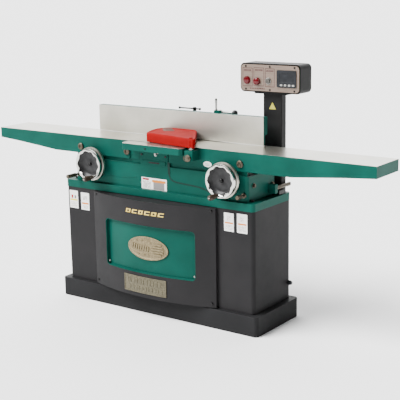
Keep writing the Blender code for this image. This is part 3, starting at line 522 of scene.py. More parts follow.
def insert_tree():
    """Carbide inserts in a spiral: row and place in the row come from the index."""
    tree, given = tree_of("spiral_inserts", [
        ("Rows", "Int", 6), ("In row", "Int", 12), ("Pitch", "Float", 0.015), ("First", "Float", -0.12),
        ("Radius", "Float", 0.0385), ("Twist", "Float", 0.2), ("Size", "Float", 0.013), ("Axis", "Vector", (0, 0, 0)),
        ("Material", "Material", None)])
    math_ = lambda how, a, b=0.0: add(tree, "ShaderNodeMath", {0: a, 1: b}, operation=how).outputs[0]
    index = add(tree, "GeometryNodeInputIndex").outputs[0]
    row = math_("FLOOR", math_("DIVIDE", index, given["In row"]))
    step = math_("MODULO", index, given["In row"])
    angle = math_("ADD", math_("MULTIPLY", row, math_("DIVIDE", 2 * math.pi, given["Rows"])),
                  math_("MULTIPLY", step, given["Twist"]))
    out = add(tree, "ShaderNodeCombineXYZ", {"X": math_("COSINE", angle), "Z": math_("SINE", angle)}).outputs[0]
    along = math_("ADD", given["First"], math_("MULTIPLY", step, given["Pitch"]))
    spot = add(tree, "ShaderNodeVectorMath", {0: out, 3: given["Radius"]}, operation="SCALE").outputs[0]
    spot = add(tree, "ShaderNodeVectorMath", {0: spot, 1: add(tree, "ShaderNodeCombineXYZ", {"Y": along}).outputs[0]},
               operation="ADD").outputs[0]
    spot = add(tree, "ShaderNodeVectorMath", {0: spot, 1: given["Axis"]}, operation="ADD").outputs[0]
    count = math_("MULTIPLY", given["Rows"], given["In row"])
    line = add(tree, "GeometryNodePoints", {"Count": count, "Position": spot}).outputs[0]
    size = add(tree, "ShaderNodeCombineXYZ", {"X": given["Size"], "Y": given["Size"], "Z": math_("MULTIPLY", given["Size"], 0.35)}).outputs[0]
    block = add(tree, "GeometryNodeMeshCube", {"Size": size}).outputs["Mesh"]
    screw = add(tree, "GeometryNodeMeshCylinder", {"Vertices": 10, "Radius": math_("MULTIPLY", given["Size"], 0.24),
                                                   "Depth": math_("MULTIPLY", given["Size"], 0.45)}, fill_type="NGON").outputs["Mesh"]
    whole = add(tree, "GeometryNodeJoinGeometry", {}).inputs[0]
    tree.links.new(block, whole)
    tree.links.new(screw, whole)
    aim = add(tree, "FunctionNodeAlignRotationToVector", {"Vector": out}, axis="Z").outputs[0]
    placed = add(tree, "GeometryNodeInstanceOnPoints", {"Points": line, "Instance": whole.node.outputs[0], "Rotation": aim}).outputs[0]
    real = add(tree, "GeometryNodeRealizeInstances", {"Geometry": placed}).outputs[0]
    done = add(tree, "GeometryNodeSetMaterial", {"Geometry": real, "Material": given["Material"]}).outputs[0]
    add(tree, "NodeGroupOutput", {"Geometry": done})
    return tree


HEX = head_tree("hex_head", 6)
ROUND = head_tree("round_head", 16)


# ---- cabinet, plinth and front cover --------------------------------------------------------
def bow(x, inset=0.0):
    """Front face of the bowed cover at x."""
    return -170.0 - 60.0 * (1 - (x / 355.0) ** 2) + inset


def dress_stand():
    dress("plinth", PLINTH, 2.0)
    dress("cabinet", CABINET, 1.2)
    dress("bow_panel", CABINET, 1.6)
    dress("recess_panel", DOOR, 1.6)
    edge = rounded(-261.2, 261.2, 210.3, 439.7, 19.6, 6)
    rim = []
    for i, (x, z) in enumerate(edge):
        x1, z1 = x - (1.6 if x > 0 else -1.6), z + (1.6 if z < 325 else -1.6)
        rim.append(((x, z), (x1, z1)))
    rings = [[(p[0], bow(p[0], 0.6), p[1]) for p, q in rim], [(q[0], bow(q[0], 0.6), q[1]) for p, q in rim],
             [(q[0], bow(q[0], 12.6), q[1]) for p, q in rim], [(p[0], bow(p[0], 12.6), p[1]) for p, q in rim]]
    n = len(edge)
    faces = [(a * n + i, a * n + (i + 1) % n, (a + 1) % 4 * n + (i + 1) % n, (a + 1) % 4 * n + i) for a in range(4) for i in range(n)]
    make("recess_rim", [([p for ring in rings for p in ring], faces)], DOOR, "base", 0, (), 50)
    dress("cable_gland", BEZEL, 0.5)
    heads("cover_screws", ROUND, [(x, bow(x) - 0.2, z) for x in (-335, 335) for z in (115, 541)], "base", "-y",
          7.0, 5.2, 2.4, OXIDE, 1.0, 0.75)
    heads("recess_screws", ROUND, [(x, bow(x, 12) - 0.2, 229) for x in (-250, 250)], "base", "-y", 4.5, 3.6, 1.6, STEEL, 0.6, 0.75)


def curved_bar(x0, x1, z0, z1, front, back, slant=0.0, n=6):
    """Thin raised bar that follows the bow, its top pushed sideways by slant."""
    sections = []
    for i in range(n + 1):
        x = x0 + (x1 - x0) * i / n
        xt = x + slant
        sections.append([(x, bow(x, front), z0), (x, bow(x, back), z0), (xt, bow(xt, back), z1), (xt, bow(xt, front), z1)])
    return loft(sections)


def dress_badges():
    deep, steps, rim = 12.0, 64, []
    for r, y in ((1.0, 0.2), (1.0, -2.6), (0.975, -3.4), (0.93, -3.4), (0.915, -2.0), (0.7, -2.3), (0.42, -2.6), (0.12, -2.8)):
        tall = 55.5 * (1 - (1 - r) * 1.9) if r > 0.9 else 51.0 * r
        rim.append([(2 + 117.5 * r * math.cos(2 * math.pi * i / steps),
                     bow(2 + 117.5 * r * math.cos(2 * math.pi * i / steps), deep + 3.4 + y),
                     330 + tall * math.sin(2 * math.pi * i / steps)) for i in range(steps)])
    parts = [loft(rim)]
    # generic relief: a row of slanted blocks on the left, a ribbed dome and loose studs on the right
    for k in range(8):
        parts.append(curved_bar(-92 + 13.5 * k, -83.5 + 13.5 * k, 322 - k, 346 - k, deep - 3.0, deep + 1.8, 4, 1))
    for z, half in ((306, 22), (318, 31), (330, 35), (342, 31), (354, 22)):
        parts.append(curved_bar(62 - half, 62 + half, z - 3.6, z + 3.6, deep - 3.4, deep + 1.8, 0, 6))
    for x, z in ((-60, 362), (-30, 366), (2, 368), (-52, 300), (-20, 297), (8, 300), (20, 360)):
        parts.append(curved_bar(x - 6, x + 6, z - 2.5, z + 2.5, deep - 2.6, deep + 1.8, 2, 1))
    make("oval_plate", parts, BADGE, "base", 0.8, ("oval_badge",))
    plate = [curved_bar(-133, 115, 115, 195, -1.8, -0.3, 0, 16)]
    for x0, x1, z0, z1 in ((-133, 115, 191, 195), (-133, 115, 115, 119)):
        plate.append(curved_bar(x0, x1, z0, z1, -3.4, -1.0, 0, 16))
    for x0, x1 in ((-133, -129), (111, 115)):
        plate.append(curved_bar(x0, x1, 115, 195, -3.4, -1.0, 0, 1))
    widths = (14, 9, 17, 11, 15, 8, 16, 12, 10, 15, 13)
    x = -119.0
    for k, w in enumerate(widths):
        plate.append(curved_bar(x, x + w, 158, 184, -3.3, -1.0, 0, 2))
        if k % 2:
            plate.append(curved_bar(x + w * 0.3, x + w * 0.7, 166, 176, -4.0, -1.0, 0, 1))
        x += w + 6.6
    x = -104.0
    for k in range(11):
        plate.append(curved_bar(x, x + 11 + 3 * (k % 3), 128, 147, -3.2, -1.0, 0, 2))
        x += 18.4
    make("relief_plate", plate, PEWTER, "base", 0.5, ("name_plate",))
    bars, x = [], -112.0
    for k, w in enumerate((28, 30, 26, 30, 28, 30)):
        z = 492.0
        bars.append(curved_bar(x, x + w, z, z + 4.6, -0.9, -0.1, 1.3, 2))
        bars.append(curved_bar(x + 4, x + 4 + w, z + 13.4, z + 18, -0.9, -0.1, 1.3, 2))
        bars.append(curved_bar(x + 1.4, x + 9, z + 4.6, z + 13.4, -0.9, -0.1, 2.4, 1))
        if k % 2 == 0:
            bars.append(curved_bar(x + w - 7, x + w + 1, z + 4.6, z + 13.4, -0.9, -0.1, 2.4, 1))
        x += w + 9.4
    make("yellow_stripe_mark", bars, YELLOW_VINYL, "base", 0)


# Gloss vinyl sticker with a printed face: plain blocks and broken rows, no words.
def printed_vinyl(name, blocks, paper="#efefec"):
    mat, tree, shader, where = finish_of(name, paper, 0.34)
    x, _, z = add(tree, "ShaderNodeSeparateXYZ", {0: where}).outputs
    m = lambda how, a, b=0.0: add(tree, "ShaderNodeMath", {0: a, 1: b}, operation=how).outputs[0]
    rows = m("GREATER_THAN", m("FRACT", m("MULTIPLY", z, 1000 / 5.2)), 0.45)
    words = m("MULTIPLY", rows, m("GREATER_THAN", noise(tree, where, 7, 0, (1, 1, 0.3)), 0.44))
    tint = linear(paper)
    for x0, x1, z0, z1, ink, solid in blocks:
        dx = m("SUBTRACT", m("ABSOLUTE", m("SUBTRACT", x, (x0 + x1) / 2 * MM)), (x1 - x0) / 2 * MM)
        dz = m("SUBTRACT", m("ABSOLUTE", m("SUBTRACT", z, (z0 + z1) / 2 * MM)), (z1 - z0) / 2 * MM)
        inside = m("LESS_THAN", m("MAXIMUM", dx, dz), 0.0)
        if not solid:
            inside = m("MULTIPLY", inside, words)
        tint = add(tree, "ShaderNodeMix", {0: inside, 6: tint, 7: linear(ink)}, data_type="RGBA").outputs[2]
    tree.links.new(tint, shader.inputs["Base Color"])
    bumps(tree, shader, noise(tree, where, 25, 2), 0.08, 0.3)
    return mat


YELLOW_VINYL = moulded("yellow_vinyl", "#c2a64c", "#d6bf68", 0.4, 6, 0.01)


def sticker(name, x0, x1, z0, z1, y, material, thick=0.35):
    return make(name, [prism(rounded(x0, x1, z0, z1, 2.0, 3), "y", y - thick, y - 0.05)], material, "base", 0)


def dress_labels():
    amber, grey = "#d07a2c", "#a3a29e"
    for x0, x1, z0, z1, blocks in (
            (-526, -472, 449, 536, [(-515, -503, 497, 514, "#8e2a26", True), (-495, -484, 497, 513, "#6f6d6a", True),
                                    (-522, -476, 486, 494, "#ddcc3c", True), (-520, -480, 454, 482, grey, False)]),
            (-452, -400, 447, 532, [(-441, -411, 496, 514, "#7f7d7a", False), (-448, -404, 475, 483, amber, True),
                                    (-446, -408, 452, 471, grey, False)]),
            (391, 442, 456, 538, [(406, 424, 504, 524, "#a08a92", False), (395, 438, 490, 497, amber, True),
                                  (396, 436, 462, 486, grey, False)]),
            (459, 512, 456, 541, [(476, 494, 506, 526, "#a08a92", False), (463, 508, 492, 499, amber, True),
                                  (464, 506, 462, 488, grey, False)])):
        name = f"label_{int(x0) + 600}"
        sticker(name, x0, x1, z0, z1, -155.3, printed_vinyl(name + "_vinyl", blocks))
    block = printed_vinyl("casting_label_vinyl", [
        (-75, -37, 633, 642, "#8f2430", True), (-75, -26, 596, 629, "#6f6d6e", False), (-19, 60, 626, 637, "#cf7d2e", True),
        (-12, 52, 592, 626, "#7f7d7b", True), (4, 38, 637, 642, "#b9b6b2", False)])
    sticker("label_casting", -81, 66, 591, 645, -140.0, block)


# ---- castings, tables and the parts bolted to them ---------------------------------------------
def dress_castings():
    dress("base_casting", ENAMEL, 1.8)
    dress("elevation_gearbox_outfeed", ENAMEL, 1.2)
    dress("elevation_gearbox_infeed", ENAMEL, 1.2)
    dress("fence_slide_base", ENAMEL, 1.2)
    dress("fence_carriage", ENAMEL, 1.2)
    y = -140.0
    make("casting_pad", [prism(rounded(-77, 63, 708, 727.5, 3, 3), "y", y - 4, y + 3),
                         prism([(-490 + 14, 703.2), (-86, 703.2), (-86, 706), (-476, 706)], "y", y - 1.6, y + 3),
                         prism([(81, 703.2), (492, 703.2), (492, 706), (81, 706)], "y", y - 1.6, y + 3)],
         ENAMEL, "base", 1.0)
    # painted shade: a thin dark oxide plate, proud of the pad, stands for the shaded hollow of its slot
    make("casting_pad_slot_shade", [prism(rounded(-33, 29, 714, 721, 3, 3), "y", y - 4.6, y - 2)], OXIDE, "base", 0.3)
    # painted shade: a dark enamel band, standing a little proud of the casting face, marks the shaded wiring groove
    # that falls from the table lip and runs away along the casting
    path = [(80, 702), (80, 684), (82, 668), (88, 654), (100, 645), (118, 640), (160, 637), (205, 634.5), (250, 631),
            (282, 624), (308, 613), (322, 602), (330, 592)]
    width = 3.6
    make("casting_groove_shade", [ribbon(path, width, y - 0.9, y + 2)], GROOVE_SHADE, "base", 0.4)
    # painted shade: a wider dark band marks the shaded gap beside the tower
    make("casting_channel_shade", [ribbon([(80, 729), (80, 700), (80.6, 684), (82, 672)], 6.5, y - 1.4, y + 2)], GROOVE_SHADE, "base", 0.4)
    step = [(-470, 622), (-420, 628), (-294, 628), (-180, 634), (-110, 640)]
    make("casting_step", [ribbon(step, 1.6, y - 1.2, y + 2)], ENAMEL, "base", 0.5)
    heads("casting_side_bolts", HEX, [(505.2, -92, 658), (505.2, 60, 640)], "base", "+x", 11, 8.5, 6, BOLT, 1.6)
    heads("flange_bolts", ROUND, [(512, -112, 590.2), (-512, -112, 590.2), (512, 118, 590.2), (-512, 118, 590.2)],
          "base", "+z", 10, 7.5, 6, OXIDE, 1.6)
    for name, xs, body in (("outfeed_link_a", (-446,), 0), ("outfeed_link_b", (-159,), 0), ("infeed_link_a", (471,), 0),
                           ("infeed_link_b", (186,), 0)):
        dress(name, STEEL, 0.6)
        cap = [(0, -149.5), (6.5, -149.5), (8, -151), (8.6, -153.0), (14, -153.2), (16, -151.4), (16, -145.2), (0, -145.2)]
        make(name + "_pin_cap", [lathe(cap, "y", x, 758, 32) for x in xs], BOLT, name, 0, (), 40)
    dress("bearing_front", ENAMEL, 1.2)
    dress("bearing_rear", OXIDE, 1.2)
    heads("bearing_bolts", ROUND, [(x, -144.6, 752) for x in (-72, 66)], "base", "-y", 5.4, 4.4, 3, OXIDE, 0.6)
    heads("casting_front_bolt", ROUND, [(9, -145.2, 757)], "base", "-y", 8.0, 6.0, 3.4, STEEL, 1.0)
    heads("bearing_rear_bolts", ROUND, [(x, 71, 742.2) for x in (-26, 52)], "base", "+z", 7, 5.5, 5, OXIDE, 1)


def ribbon(path, half, y0, y1):
    """Band of even width that follows points in the XZ plane."""
    left, right = [], []
    for i, (x, z) in enumerate(path):
        ax, az = path[max(i - 1, 0)]
        bx, bz = path[min(i + 1, len(path) - 1)]
        d = Vector((bx - ax, bz - az)).normalized()
        left.append((x - d.y * half, z + d.x * half))
        right.append((x + d.y * half, z - d.x * half))
    n, m = len(path), 2 * len(path)
    v = [(a, y0, b) for a, b in left] + [(a, y0, b) for a, b in right] + \
        [(a, y1, b) for a, b in left] + [(a, y1, b) for a, b in right]
    f = []
    for i in range(n - 1):
        f += [(i, i + 1, n + i + 1, n + i), (m + i, m + n + i, m + n + i + 1, m + i + 1),
              (i, m + i, m + i + 1, i + 1), (n + i, n + i + 1, m + n + i + 1, m + n + i)]
    f += [(0, n, m + n, m), (n - 1, m + n - 1, m + m - 1, m - 1)]
    return v, f


# Darker enamel painted as the shade in the casting's groove and in the gap beside the tower.
GROOVE_SHADE = moulded("shadowed_enamel", "#06231d", "#0a2d26", 0.6)


def dress_tables():
    dress("outfeed_table", TABLE_IRON, 1.0)
    dress("infeed_table", TABLE_IRON, 1.0)
    dress("guard_bracket", ENAMEL, 3.0)
    tag = [(299 + 22 * math.cos(math.pi * i / 18), 741 + 12.5 * math.sin(math.pi * i / 18)) for i in range(36)]
    make("table_tag", [prism(tag, "y", -145.9, -145.25)], TAG_VINYL, "infeed_table", 0)
    heads("table_lip_screws", ROUND, [(-135 + 140, -215.1, 794)], "infeed_table", "-y", 4.5, 3.6, 2.2, OXIDE, 0.6)


TAG_VINYL = printed_vinyl("oval_tag_vinyl", [(286, 312, 735, 747, "#6d726e", False)], "#e2e3df")


def dress_head():
    dress("cutterhead", STEEL, 0.5)
    grown("cutterhead_inserts", insert_tree(), {
        "Rows": 6, "In row": 11, "Pitch": 0.0158, "First": -0.119, "Radius": 0.0372, "Twist": 0.20, "Size": 0.0125,
        "Axis": (0.013, 0.0, 0.770), "Material": CARBIDE}, [(0, 0, 0)], "cutterhead", CARBIDE)
    dress("cutterhead_pulley", OXIDE, 0.8)
    dress("motor_pulley", OXIDE, 0.8)
    dress("drive_belt", RUBBER, 0)
    dress("belt_cover", ENAMEL, 1.6)
    dress("motor_body", MOTOR_COAT, 1.6)
    dress("motor_shaft", STEEL, 0.4)
    dress("motor_mount", CABINET, 1.0)
    fins = []
    for i in range(40):
        t = 2 * math.pi * i / 40
        c, s = math.cos(t), math.sin(t)
        if 200 < math.degrees(t) < 340 or math.degrees(t) < 28 or math.degrees(t) > 332:
            continue
        pts = [(13 + r * c - w * s, 300 + r * s + w * c) for r, w in ((80, -1.2), (86.6, -0.8), (86.6, 0.8), (80, 1.2))]
        fins.append(prism(pts, "y", -94, 42))
    make("motor_fins", fins, MOTOR_COAT, "base", 0)
    dress("dust_chute", ZINC, 0.4)
    dress("dust_port", ZINC, 0.6)
    make("dust_port_bead", [hoop([(50.6, 196), (52.6, 199), (52.6, 202), (50.6, 205), (50.2, 200)], "y", -230, 330, 48)],
         ZINC, "base", 0.3)


MOTOR_COAT = powder_coat("motor_enamel_grey", "#2c2e30", "#3a3c3e", 0.45)


# ---- handwheels and locks ---------------------------------------------------------------------
def dress_handwheel(side, cx, angle):
    """Polished front ring scalloped by ten finger lobes, black dished centre, plain ring behind."""
    body, cz = "handwheel_" + side, 685.5
    lobes = lambda k, t: 1.0 + (0.045 * math.cos(10 * t + 0.6) if k in (0, 1, 2, 8) else 0.0)
    front = [(62, -198.5), (62.4, -203), (64.8, -205), (72.4, -205), (74.3, -204.2), (75, -202.2), (75, -193.4), (72.4, -190.6),
             (64, -190.6)]
    back = [(60, -182), (76.4, -184), (79, -183), (80, -181), (80, -171), (79, -169), (77, -168), (62, -168), (60, -170)]
    make(f"wheel_rim_{side}", [hoop(front, "y", cx, cz, 120, lobes)], POLISHED, body, 0, (f"handwheel_{side}",), 40)
    make(f"wheel_ring_{side}", [hoop(back, "y", cx, cz, 96)], RING, body, 0, (), 40)
    dish = [(0, -186.6), (11, -186.2), (16, -183.8), (30, -182.6), (46, -183.6), (54, -187), (60, -195.4), (62, -197.4),
            (66.5, -197.6), (66.5, -191.2), (72.6, -189.6), (72.6, -186), (66, -183), (58, -177), (22, -177), (18, -160), (8, -160),
            (8, -92), (0, -92)]
    make(f"wheel_centre_{side}", [lathe(dish, "y", cx, cz, 96)], PHENOLIC, body, 0, (), 40)
    boss = [(0, -196.4), (4.4, -196.2), (7.6, -194.2), (9.4, -190.4), (9.8, -185), (0, -185)]
    make(f"wheel_cap_{side}", [lathe(boss, "y", cx, cz, 32)], OXIDE, body, 0, ())
    marks = []
    for i in range(12):
        tilt = Matrix.Translation((cx, -176, cz)) @ Matrix.Rotation(-math.radians(30 * i + 8), 4, "Y") @ Matrix.Rotation(math.pi / 2, 4, "Y")
        v, f = lathe([(0, 79.0), (2.4, 79.0), (2.4, 80.0), (1.6, 80.25), (0, 80.25)], "z", 0, 0, 12)
        marks.append(([tuple(tilt @ Vector(p)) for p in v], f))
    make(f"wheel_set_screws_{side}", marks, OXIDE, body, 0, ())
    gx, gz = cx + 65 * math.cos(math.radians(angle)), cz + 65 * math.sin(math.radians(angle))
    grip = [(0, -267.2), (5, -267.2), (8.4, -265.8), (11, -262.4), (12.3, -256), (12.5, -247), (11.8, -235), (10.4, -224),
            (9.2, -216), (9.4, -213), (9.4, -210.6), (8.5, -209), (8.5, -205.6), (4, -205.6), (4, -187), (0, -187)]
    make(f"grip_{side}", [lathe(grip, "y", gx, gz, 40)], GRIP, "handle_" + side, 0, ("handle_" + side,))
    make(f"grip_cap_{side}", [lathe([(0, -267.9), (3, -267.9), (3.8, -267.5), (3.8, -266), (0, -266)], "y", gx, gz, 24)], STEEL,
         "handle_" + side, 0, ())


def dress_locks():
    for node in ("table_lock_left", "table_lock_right", "rear_table_lock"):
        dress(node, BOLT, 0.8)
    make("rear_lock_block", [slab(506, 541, 62, 110, 592, 611)], OXIDE, "base", 2.0)
    heads("rear_lock_bolt", HEX, [(523, 88, 611.2)], "base", "+z", 8, 6.5, 5, BOLT, 1.2)


# ---- fence, guard and levers ---------------------------------------------------------------------
def dress_fence():
    dress("fence", FENCE_IRON, 0.9)
    heads("fence_hinge_bolts", HEX, [(x, 45.2, z) for x in (76, 164) for z in (834, 850)], "fence", "+y", 7, 5.5, 4, OXIDE, 1)
    make("tilt_handle_rod", [lathe([(0, 926), (4, 926), (4, 948.4), (6.5, 949), (6.5, 953), (4.6, 955), (4.6, 975), (5.2, 984),
                                    (5.8, 994), (5.4, 1000), (3.4, 1003.4), (0, 1004)], "z", 200, 68, 32)], CHROME,
         "fence", 0, ("tilt_handle",))
    arm = lathe([(0, 212), (6.2, 212), (6.4, 220), (5.0, 232), (4.6, 262), (4.6, 280), (0, 281)], "x", 87, 938, 32)
    hub = lathe([(0, 75), (4.9, 75), (4.9, 78.4), (10.5, 78.8), (11, 80), (11, 92), (9.5, 94.4), (0, 94.8)], "y", 207, 938, 32)
    make("tilt_lever_arm", [arm, hub], CHROME, "tilt_lock_lever", 0.3, ("tilt_lock_lever",))
    ball = [(0, 275)] + [(14.5 * math.sin(math.pi * k / 16), 290 - 14.5 * math.cos(math.pi * k / 16)) for k in range(1, 16)] + [(0, 304.5)]
    make("tilt_lever_ball", [lathe(ball, "x", 87, 938, 32)], PHENOLIC, "tilt_lock_lever", 0, ())
    stud = lathe([(0, 816), (6, 816), (6, 917), (9, 917.6), (9, 938), (7, 940), (0, 940)], "z", 5, 168, 32)
    bar = lathe([(0, -82), (3.5, -82), (3.5, 34), (0, 34)], "x", 168, 932, 24)
    make("slide_lever_bar", [stud, bar], OXIDE, "slide_lock_lever", 0.3, ("slide_lock_lever",))
    tips = []
    for c in (-84, 36):
        tips.append(lathe([(0, c - 6)] + [(6 * math.sin(math.pi * k / 10), c - 6 * math.cos(math.pi * k / 10)) for k in range(1, 10)] + [(0, c + 6)],
                          "x", 168, 932, 20))
    make("slide_lever_tips", tips, PHENOLIC, "slide_lock_lever", 0, ())
    heads("carriage_bolts", HEX, [(x, y, 831.2) for x in (60, 180) for y in (110, 220)], "fence_carriage", "+z", 8, 6.5, 5, OXIDE, 1)
    heads("slide_base_bolts", HEX, [(x, 150.2, z) for x in (88, 176) for z in (665, 750)], "base", "+y", 8, 6.5, 5, OXIDE, 1)


GUARD_PLAN = [(-46, -141), (250, -187), (257, -176), (226, -128), (180, -62), (138, 4), (112, 28),
              (-30, 28), (-62, 12), (-77, -20), (-74, -68), (-60, -110)]


def smooth_plan(points, per=5, tight=0.32):
    """Rounds the corners of a closed outline."""
    out, n = [], len(points)
    for i in range(n):
        p0, p1, p2 = (Vector(points[(i + k) % n]) for k in (-1, 0, 1))
        cut = min((p0 - p1).length, (p2 - p1).length, 60) * tight
        a, b = p1 + (p0 - p1).normalized() * cut, p1 + (p2 - p1).normalized() * cut
        out += [tuple((1 - t) ** 2 * a + 2 * t * (1 - t) * p1 + t * t * b) for t in [k / per for k in range(per + 1)]]
    return out


def inset(points, d):
    """Outline drawn in towards its middle, by about d all round."""
    return [(60 + (x - 60) * (1 - d / 105), -72 + (y + 72) * (1 - d / 84)) for x, y in points]


def dress_guard():
    """Cast guard: a skirt, a raised rim and a sunk, slightly crowned top with a plain cast patch."""
    plan = smooth_plan(GUARD_PLAN)
    area = sum(a[0] * b[1] - b[0] * a[1] for a, b in zip(plan, plan[1:] + plan[:1]))
    if area < 0:
        plan.reverse()

    def level(d, z, tilt=1.0):
        return [(x, y, z + tilt * (y + 141) * 0.012) for x, y in inset(plan, d)]
    outside = [level(0.8, 826, 0), level(0.2, 832, 0), level(0, 840, 0), level(0.3, 850), level(1.4, 853.2), level(3.4, 854.8),
               level(6.4, 855.0), level(8.6, 854.2), level(10.4, 852.8), level(13, 852.2), level(24, 853.0), level(44, 854.0),
               level(70, 854.6)]
    inside = [level(66, 848), level(30, 846), level(7, 844), level(5, 840, 0), level(5, 826, 0)]
    n = len(plan)
    verts, faces = loft(outside + inside)
    # the loft climbs over the crown and comes back under it: both crowns are closed and the foot is joined
    top, under = (len(outside) - 1) * n, len(outside) * n
    faces = [q for q in faces if len(q) == 4 and not (top <= min(q) < under <= max(q))]
    faces += [tuple(range(top, top + n)), tuple(range(under + n - 1, under - 1, -1))]
    last = (len(outside) + len(inside) - 1) * n
    faces += [(i, (i + 1) % n, last + (i + 1) % n, last + i) for i in range(n)]
    skirt = prism([(-44, -140.6), (249, -186.2), (254.5, -176.6), (246, -171), (-43, -136)], "z", 813, 842)
    boss = hoop([(8.6, 813.4), (13.6, 813.4), (13.6, 846), (8.6, 846)], "z", 232, -174, 32)
    make("guard_casting", [(verts, faces), skirt, boss], RED_COAT, "guard", 0, ("guard",), 50)
    patch = [(2, -72), (48, -48), (-12, 14), (-56, -8)]
    raised = [prism(smooth_plan(patch, 4, 0.2), "z", 850, 856.2)]
    for k in range(4):
        x, y = -44 + 15 * k, -10 - 14 * k
        raised.append(prism([(x, y), (x + 34, y + 14), (x + 29, y + 20), (x - 5, y + 6)], "z", 854, 857.6))
    make("guard_patch", raised, RED_DULL, "guard", 0.9, ())
    make("guard_pin_cap", [lathe([(0, 853.2), (7, 853.2), (9, 854.6), (8.6, 857.4), (6, 858.8), (0, 859)], "z", 232, -174, 32)],
         RED_COAT, "guard", 0, ())
    dress("guard_spindle", STEEL, 0.4)
    cx, cz = 238.0, 771.0
    knob = [(0, -216.6), (5, -216.8), (8, -215.4), (9, -213), (13.4, -212.4), (15, -210.8), (15, -207.6), (13.6, -206), (10, -206),
            (10, -198.5), (0, -198.5)]
    wave = lambda k, t: 1.0 + (0.07 * math.cos(8 * t) if 4 <= k <= 7 else 0.0)
    make("spindle_knob", [lathe(knob, "y", cx, cz, 64, wave), lathe([(0, -200), (4, -200), (4, -185), (0, -185)], "y", cx, cz, 24)],
         BOLT, "guard_knob", 0, ("guard_knob",), 40)


RED_DULL = powder_coat("guard_cast_patch_coat", "#463330", "#655049", 0.5, 5, 0.2)


# ---- pedestal and control box ---------------------------------------------------------------------
def dress_post():
    dress("post", BLACK_COAT, 1.4)
    dress("control_box", BLACK_COAT, 2.2)
    make("post_plate", [prism(rounded(430, 518, 939, 1030, 3, 3), "y", 114.4, 115.2)], BLACK_COAT, "base", 0.2)
    tri = [(473, 996.5), (455, 964.5), (491, 964.5)]
    make("post_sign", [prism(smooth_plan(tri, 4, 0.12), "y", 113.9, 114.5)], YELLOW_SIGN, "base", 0)
    heads("box_rear_screws", ROUND, [(x, 184.1, z) for x in (345, 605) for z in (1062, 1146)], "base", "+y", 6, 4.6, 2.4, OXIDE, 0.8)


YELLOW_SIGN = moulded("yellow_printed_vinyl", "#a9a238", "#bdb650", 0.45, 6, 0.01)


# Brushed aluminium under a clear polyester film, printed with plain red frames and dashes.
def overlay_film():
    mat, tree, shader, where = finish_of("printed_overlay_on_brushed_aluminium", "#6b5c50", 0.42, metal=0.3, coat=0.1)
    grain = noise(tree, where, 1.4, 2, (60, 1, 1))
    base = shades(tree, grain, "#6a5a4e", "#7f6e62", 0.3, 0.7)
    x, y, z = add(tree, "ShaderNodeSeparateXYZ", {0: where}).outputs
    m = lambda how, a, b=0.0: add(tree, "ShaderNodeMath", {0: a, 1: b}, operation=how).outputs[0]
    inks = None
    for cx, cz, hw, hh in ((360, 1106, 25, 40), (419, 1108.5, 26, 39.5), (476, 1106.5, 23, 39.5)):
        dx = m("SUBTRACT", m("ABSOLUTE", m("SUBTRACT", x, cx * MM)), hw * MM)
        dz = m("SUBTRACT", m("ABSOLUTE", m("SUBTRACT", z, cz * MM)), hh * MM)
        edge = m("ABSOLUTE", m("MAXIMUM", dx, dz))
        line = m("LESS_THAN", edge, 1.2 * MM)
        title = m("MULTIPLY", m("MULTIPLY", m("LESS_THAN", dx, -5 * MM), m("GREATER_THAN", z, (cz + hh - 14) * MM)),
                  m("LESS_THAN", z, (cz + hh - 6) * MM))
        dash = m("GREATER_THAN", m("FRACT", m("MULTIPLY", x, 1000 / 6.5)), 0.35)
        both = m("MAXIMUM", line, m("MULTIPLY", title, dash))
        inks = both if inks is None else m("MAXIMUM", inks, both)
    foot = m("MULTIPLY", m("MULTIPLY", m("LESS_THAN", z, 1059 * MM), m("GREATER_THAN", z, 1054 * MM)),
             m("MULTIPLY", m("GREATER_THAN", x, 372 * MM), m("LESS_THAN", x, 452 * MM)))
    dash = m("GREATER_THAN", m("FRACT", m("MULTIPLY", x, 1000 / 9.0)), 0.3)
    inks = m("MAXIMUM", inks, m("MULTIPLY", foot, dash))
    tint = add(tree, "ShaderNodeMix", {0: inks, 6: base, 7: linear("#3c0810")}, data_type="RGBA").outputs[2]
    tree.links.new(tint, shader.inputs["Base Color"])
    bumps(tree, shader, grain, 0.02, 0.3)
    return mat


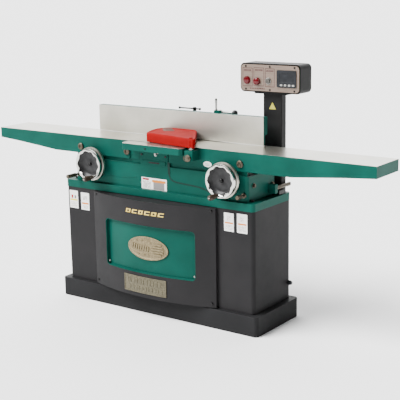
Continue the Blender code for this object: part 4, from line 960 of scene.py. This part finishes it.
def dress_panel():
    y = 86.5
    dress("face_plate", overlay_film(), 0.3)
    heads("panel_screws", ROUND, [(x, y - 0.1, z) for x in (351, 476, 601) for z in (1053, 1154)], "base", "-y", 4.6, 3.6, 1.8, OXIDE, 0.5)
    dress("display_unit", BEZEL, 0.8)
    make("display_glass", [prism(rounded(527.2, 599.8, 1090.2, 1127.8, 1.5, 3), "y", 83.4, 85.4)], LCD, "base", 0)
    dress("control_board", BOARD, 0.2)
    collar = lambda r, cx, cz: hoop([(r + 0.6, y - 0.2), (r + 3.4, y - 0.2), (r + 3.4, y - 2.2), (r + 2.6, y - 3.2), (r + 0.6, y - 3.2)],
                                    "y", cx, cz, 40)
    make("button_collars", [collar(14.5, 357, 1092), collar(12.5, 411, 1089)], RED_PLASTIC, "base", 0, (), 30)
    make("start_collar", [collar(11.5, 468, 1092)], STEEL, "base", 0, (), 30)
    r = 14.5
    make("stop_cap", [lathe([(0, y - 10), (r - 3, y - 9.8), (r - 1, y - 9), (r, y - 7), (r, y + 1), (8, y + 1), (8, y + 24), (0, y + 24)],
                            "y", 357, 1092, 40)], RED_PLASTIC, "stop_button", 0, ("stop_button",), 40)
    make("emergency_cap", [lathe([(0, y - 17), (6, y - 16.8), (11, y - 15.6), (14.6, y - 13.2), (15.5, y - 11.6), (14.4, y - 9.9), (9.5, y - 8.9),
                                  (8, y - 8), (8, y + 24), (0, y + 24)], "y", 411, 1089, 40)], RED_PLASTIC, "emergency_stop", 0,
         ("emergency_stop",), 50)
    r = 11.5
    make("start_cap", [lathe([(0, y - 8.6), (r - 3.4, y - 8.6), (r - 2.4, y - 9), (r - 0.6, y - 8.4), (r, y - 7), (r, y + 1), (8, y + 1), (8, y + 24),
                              (0, y + 24)], "y", 468, 1092, 40)], GREY_PLASTIC, "start_button", 0, ("start_button",), 40)
    for i, x in enumerate((537.0, 557.0, 577.0, 597.0), 1):
        key = [prism(rounded(x - 5.9, x + 5.9, 1073.6, 1081.4, 1.6, 4), "y", y - 5.7, y + 0.6)]
        key.append(prism(rounded(x - 2.2, x + 2.2, 1076.7, 1078.3, 0.7, 3), "y", y - 5.8, y - 5))
        make(f"key_cap_{i}", key, WHITE_KEY, f"display_key_{i}", 0.5, (f"display_key_{i}",))


# Unlit liquid-crystal glass: blue-grey, smooth, with faint cloudy variation.
def lcd_glass():
    mat, tree, shader, where = finish_of("lcd_glass", "#444c55", 0.2, ior=1.5)
    tree.links.new(shades(tree, noise(tree, where, 60, 2), "#3e464f", "#525b64"), shader.inputs["Base Color"])
    return mat


LCD = lcd_glass()

dress_stand()
dress_badges()
dress_labels()
dress_castings()
dress_tables()
dress_head()
dress_handwheel("left", -355.5, -63.0)
dress_handwheel("right", 402.5, -101.0)
dress_locks()
dress_fence()
dress_guard()
dress_post()
dress_panel()
stand_camera()
light_studio()
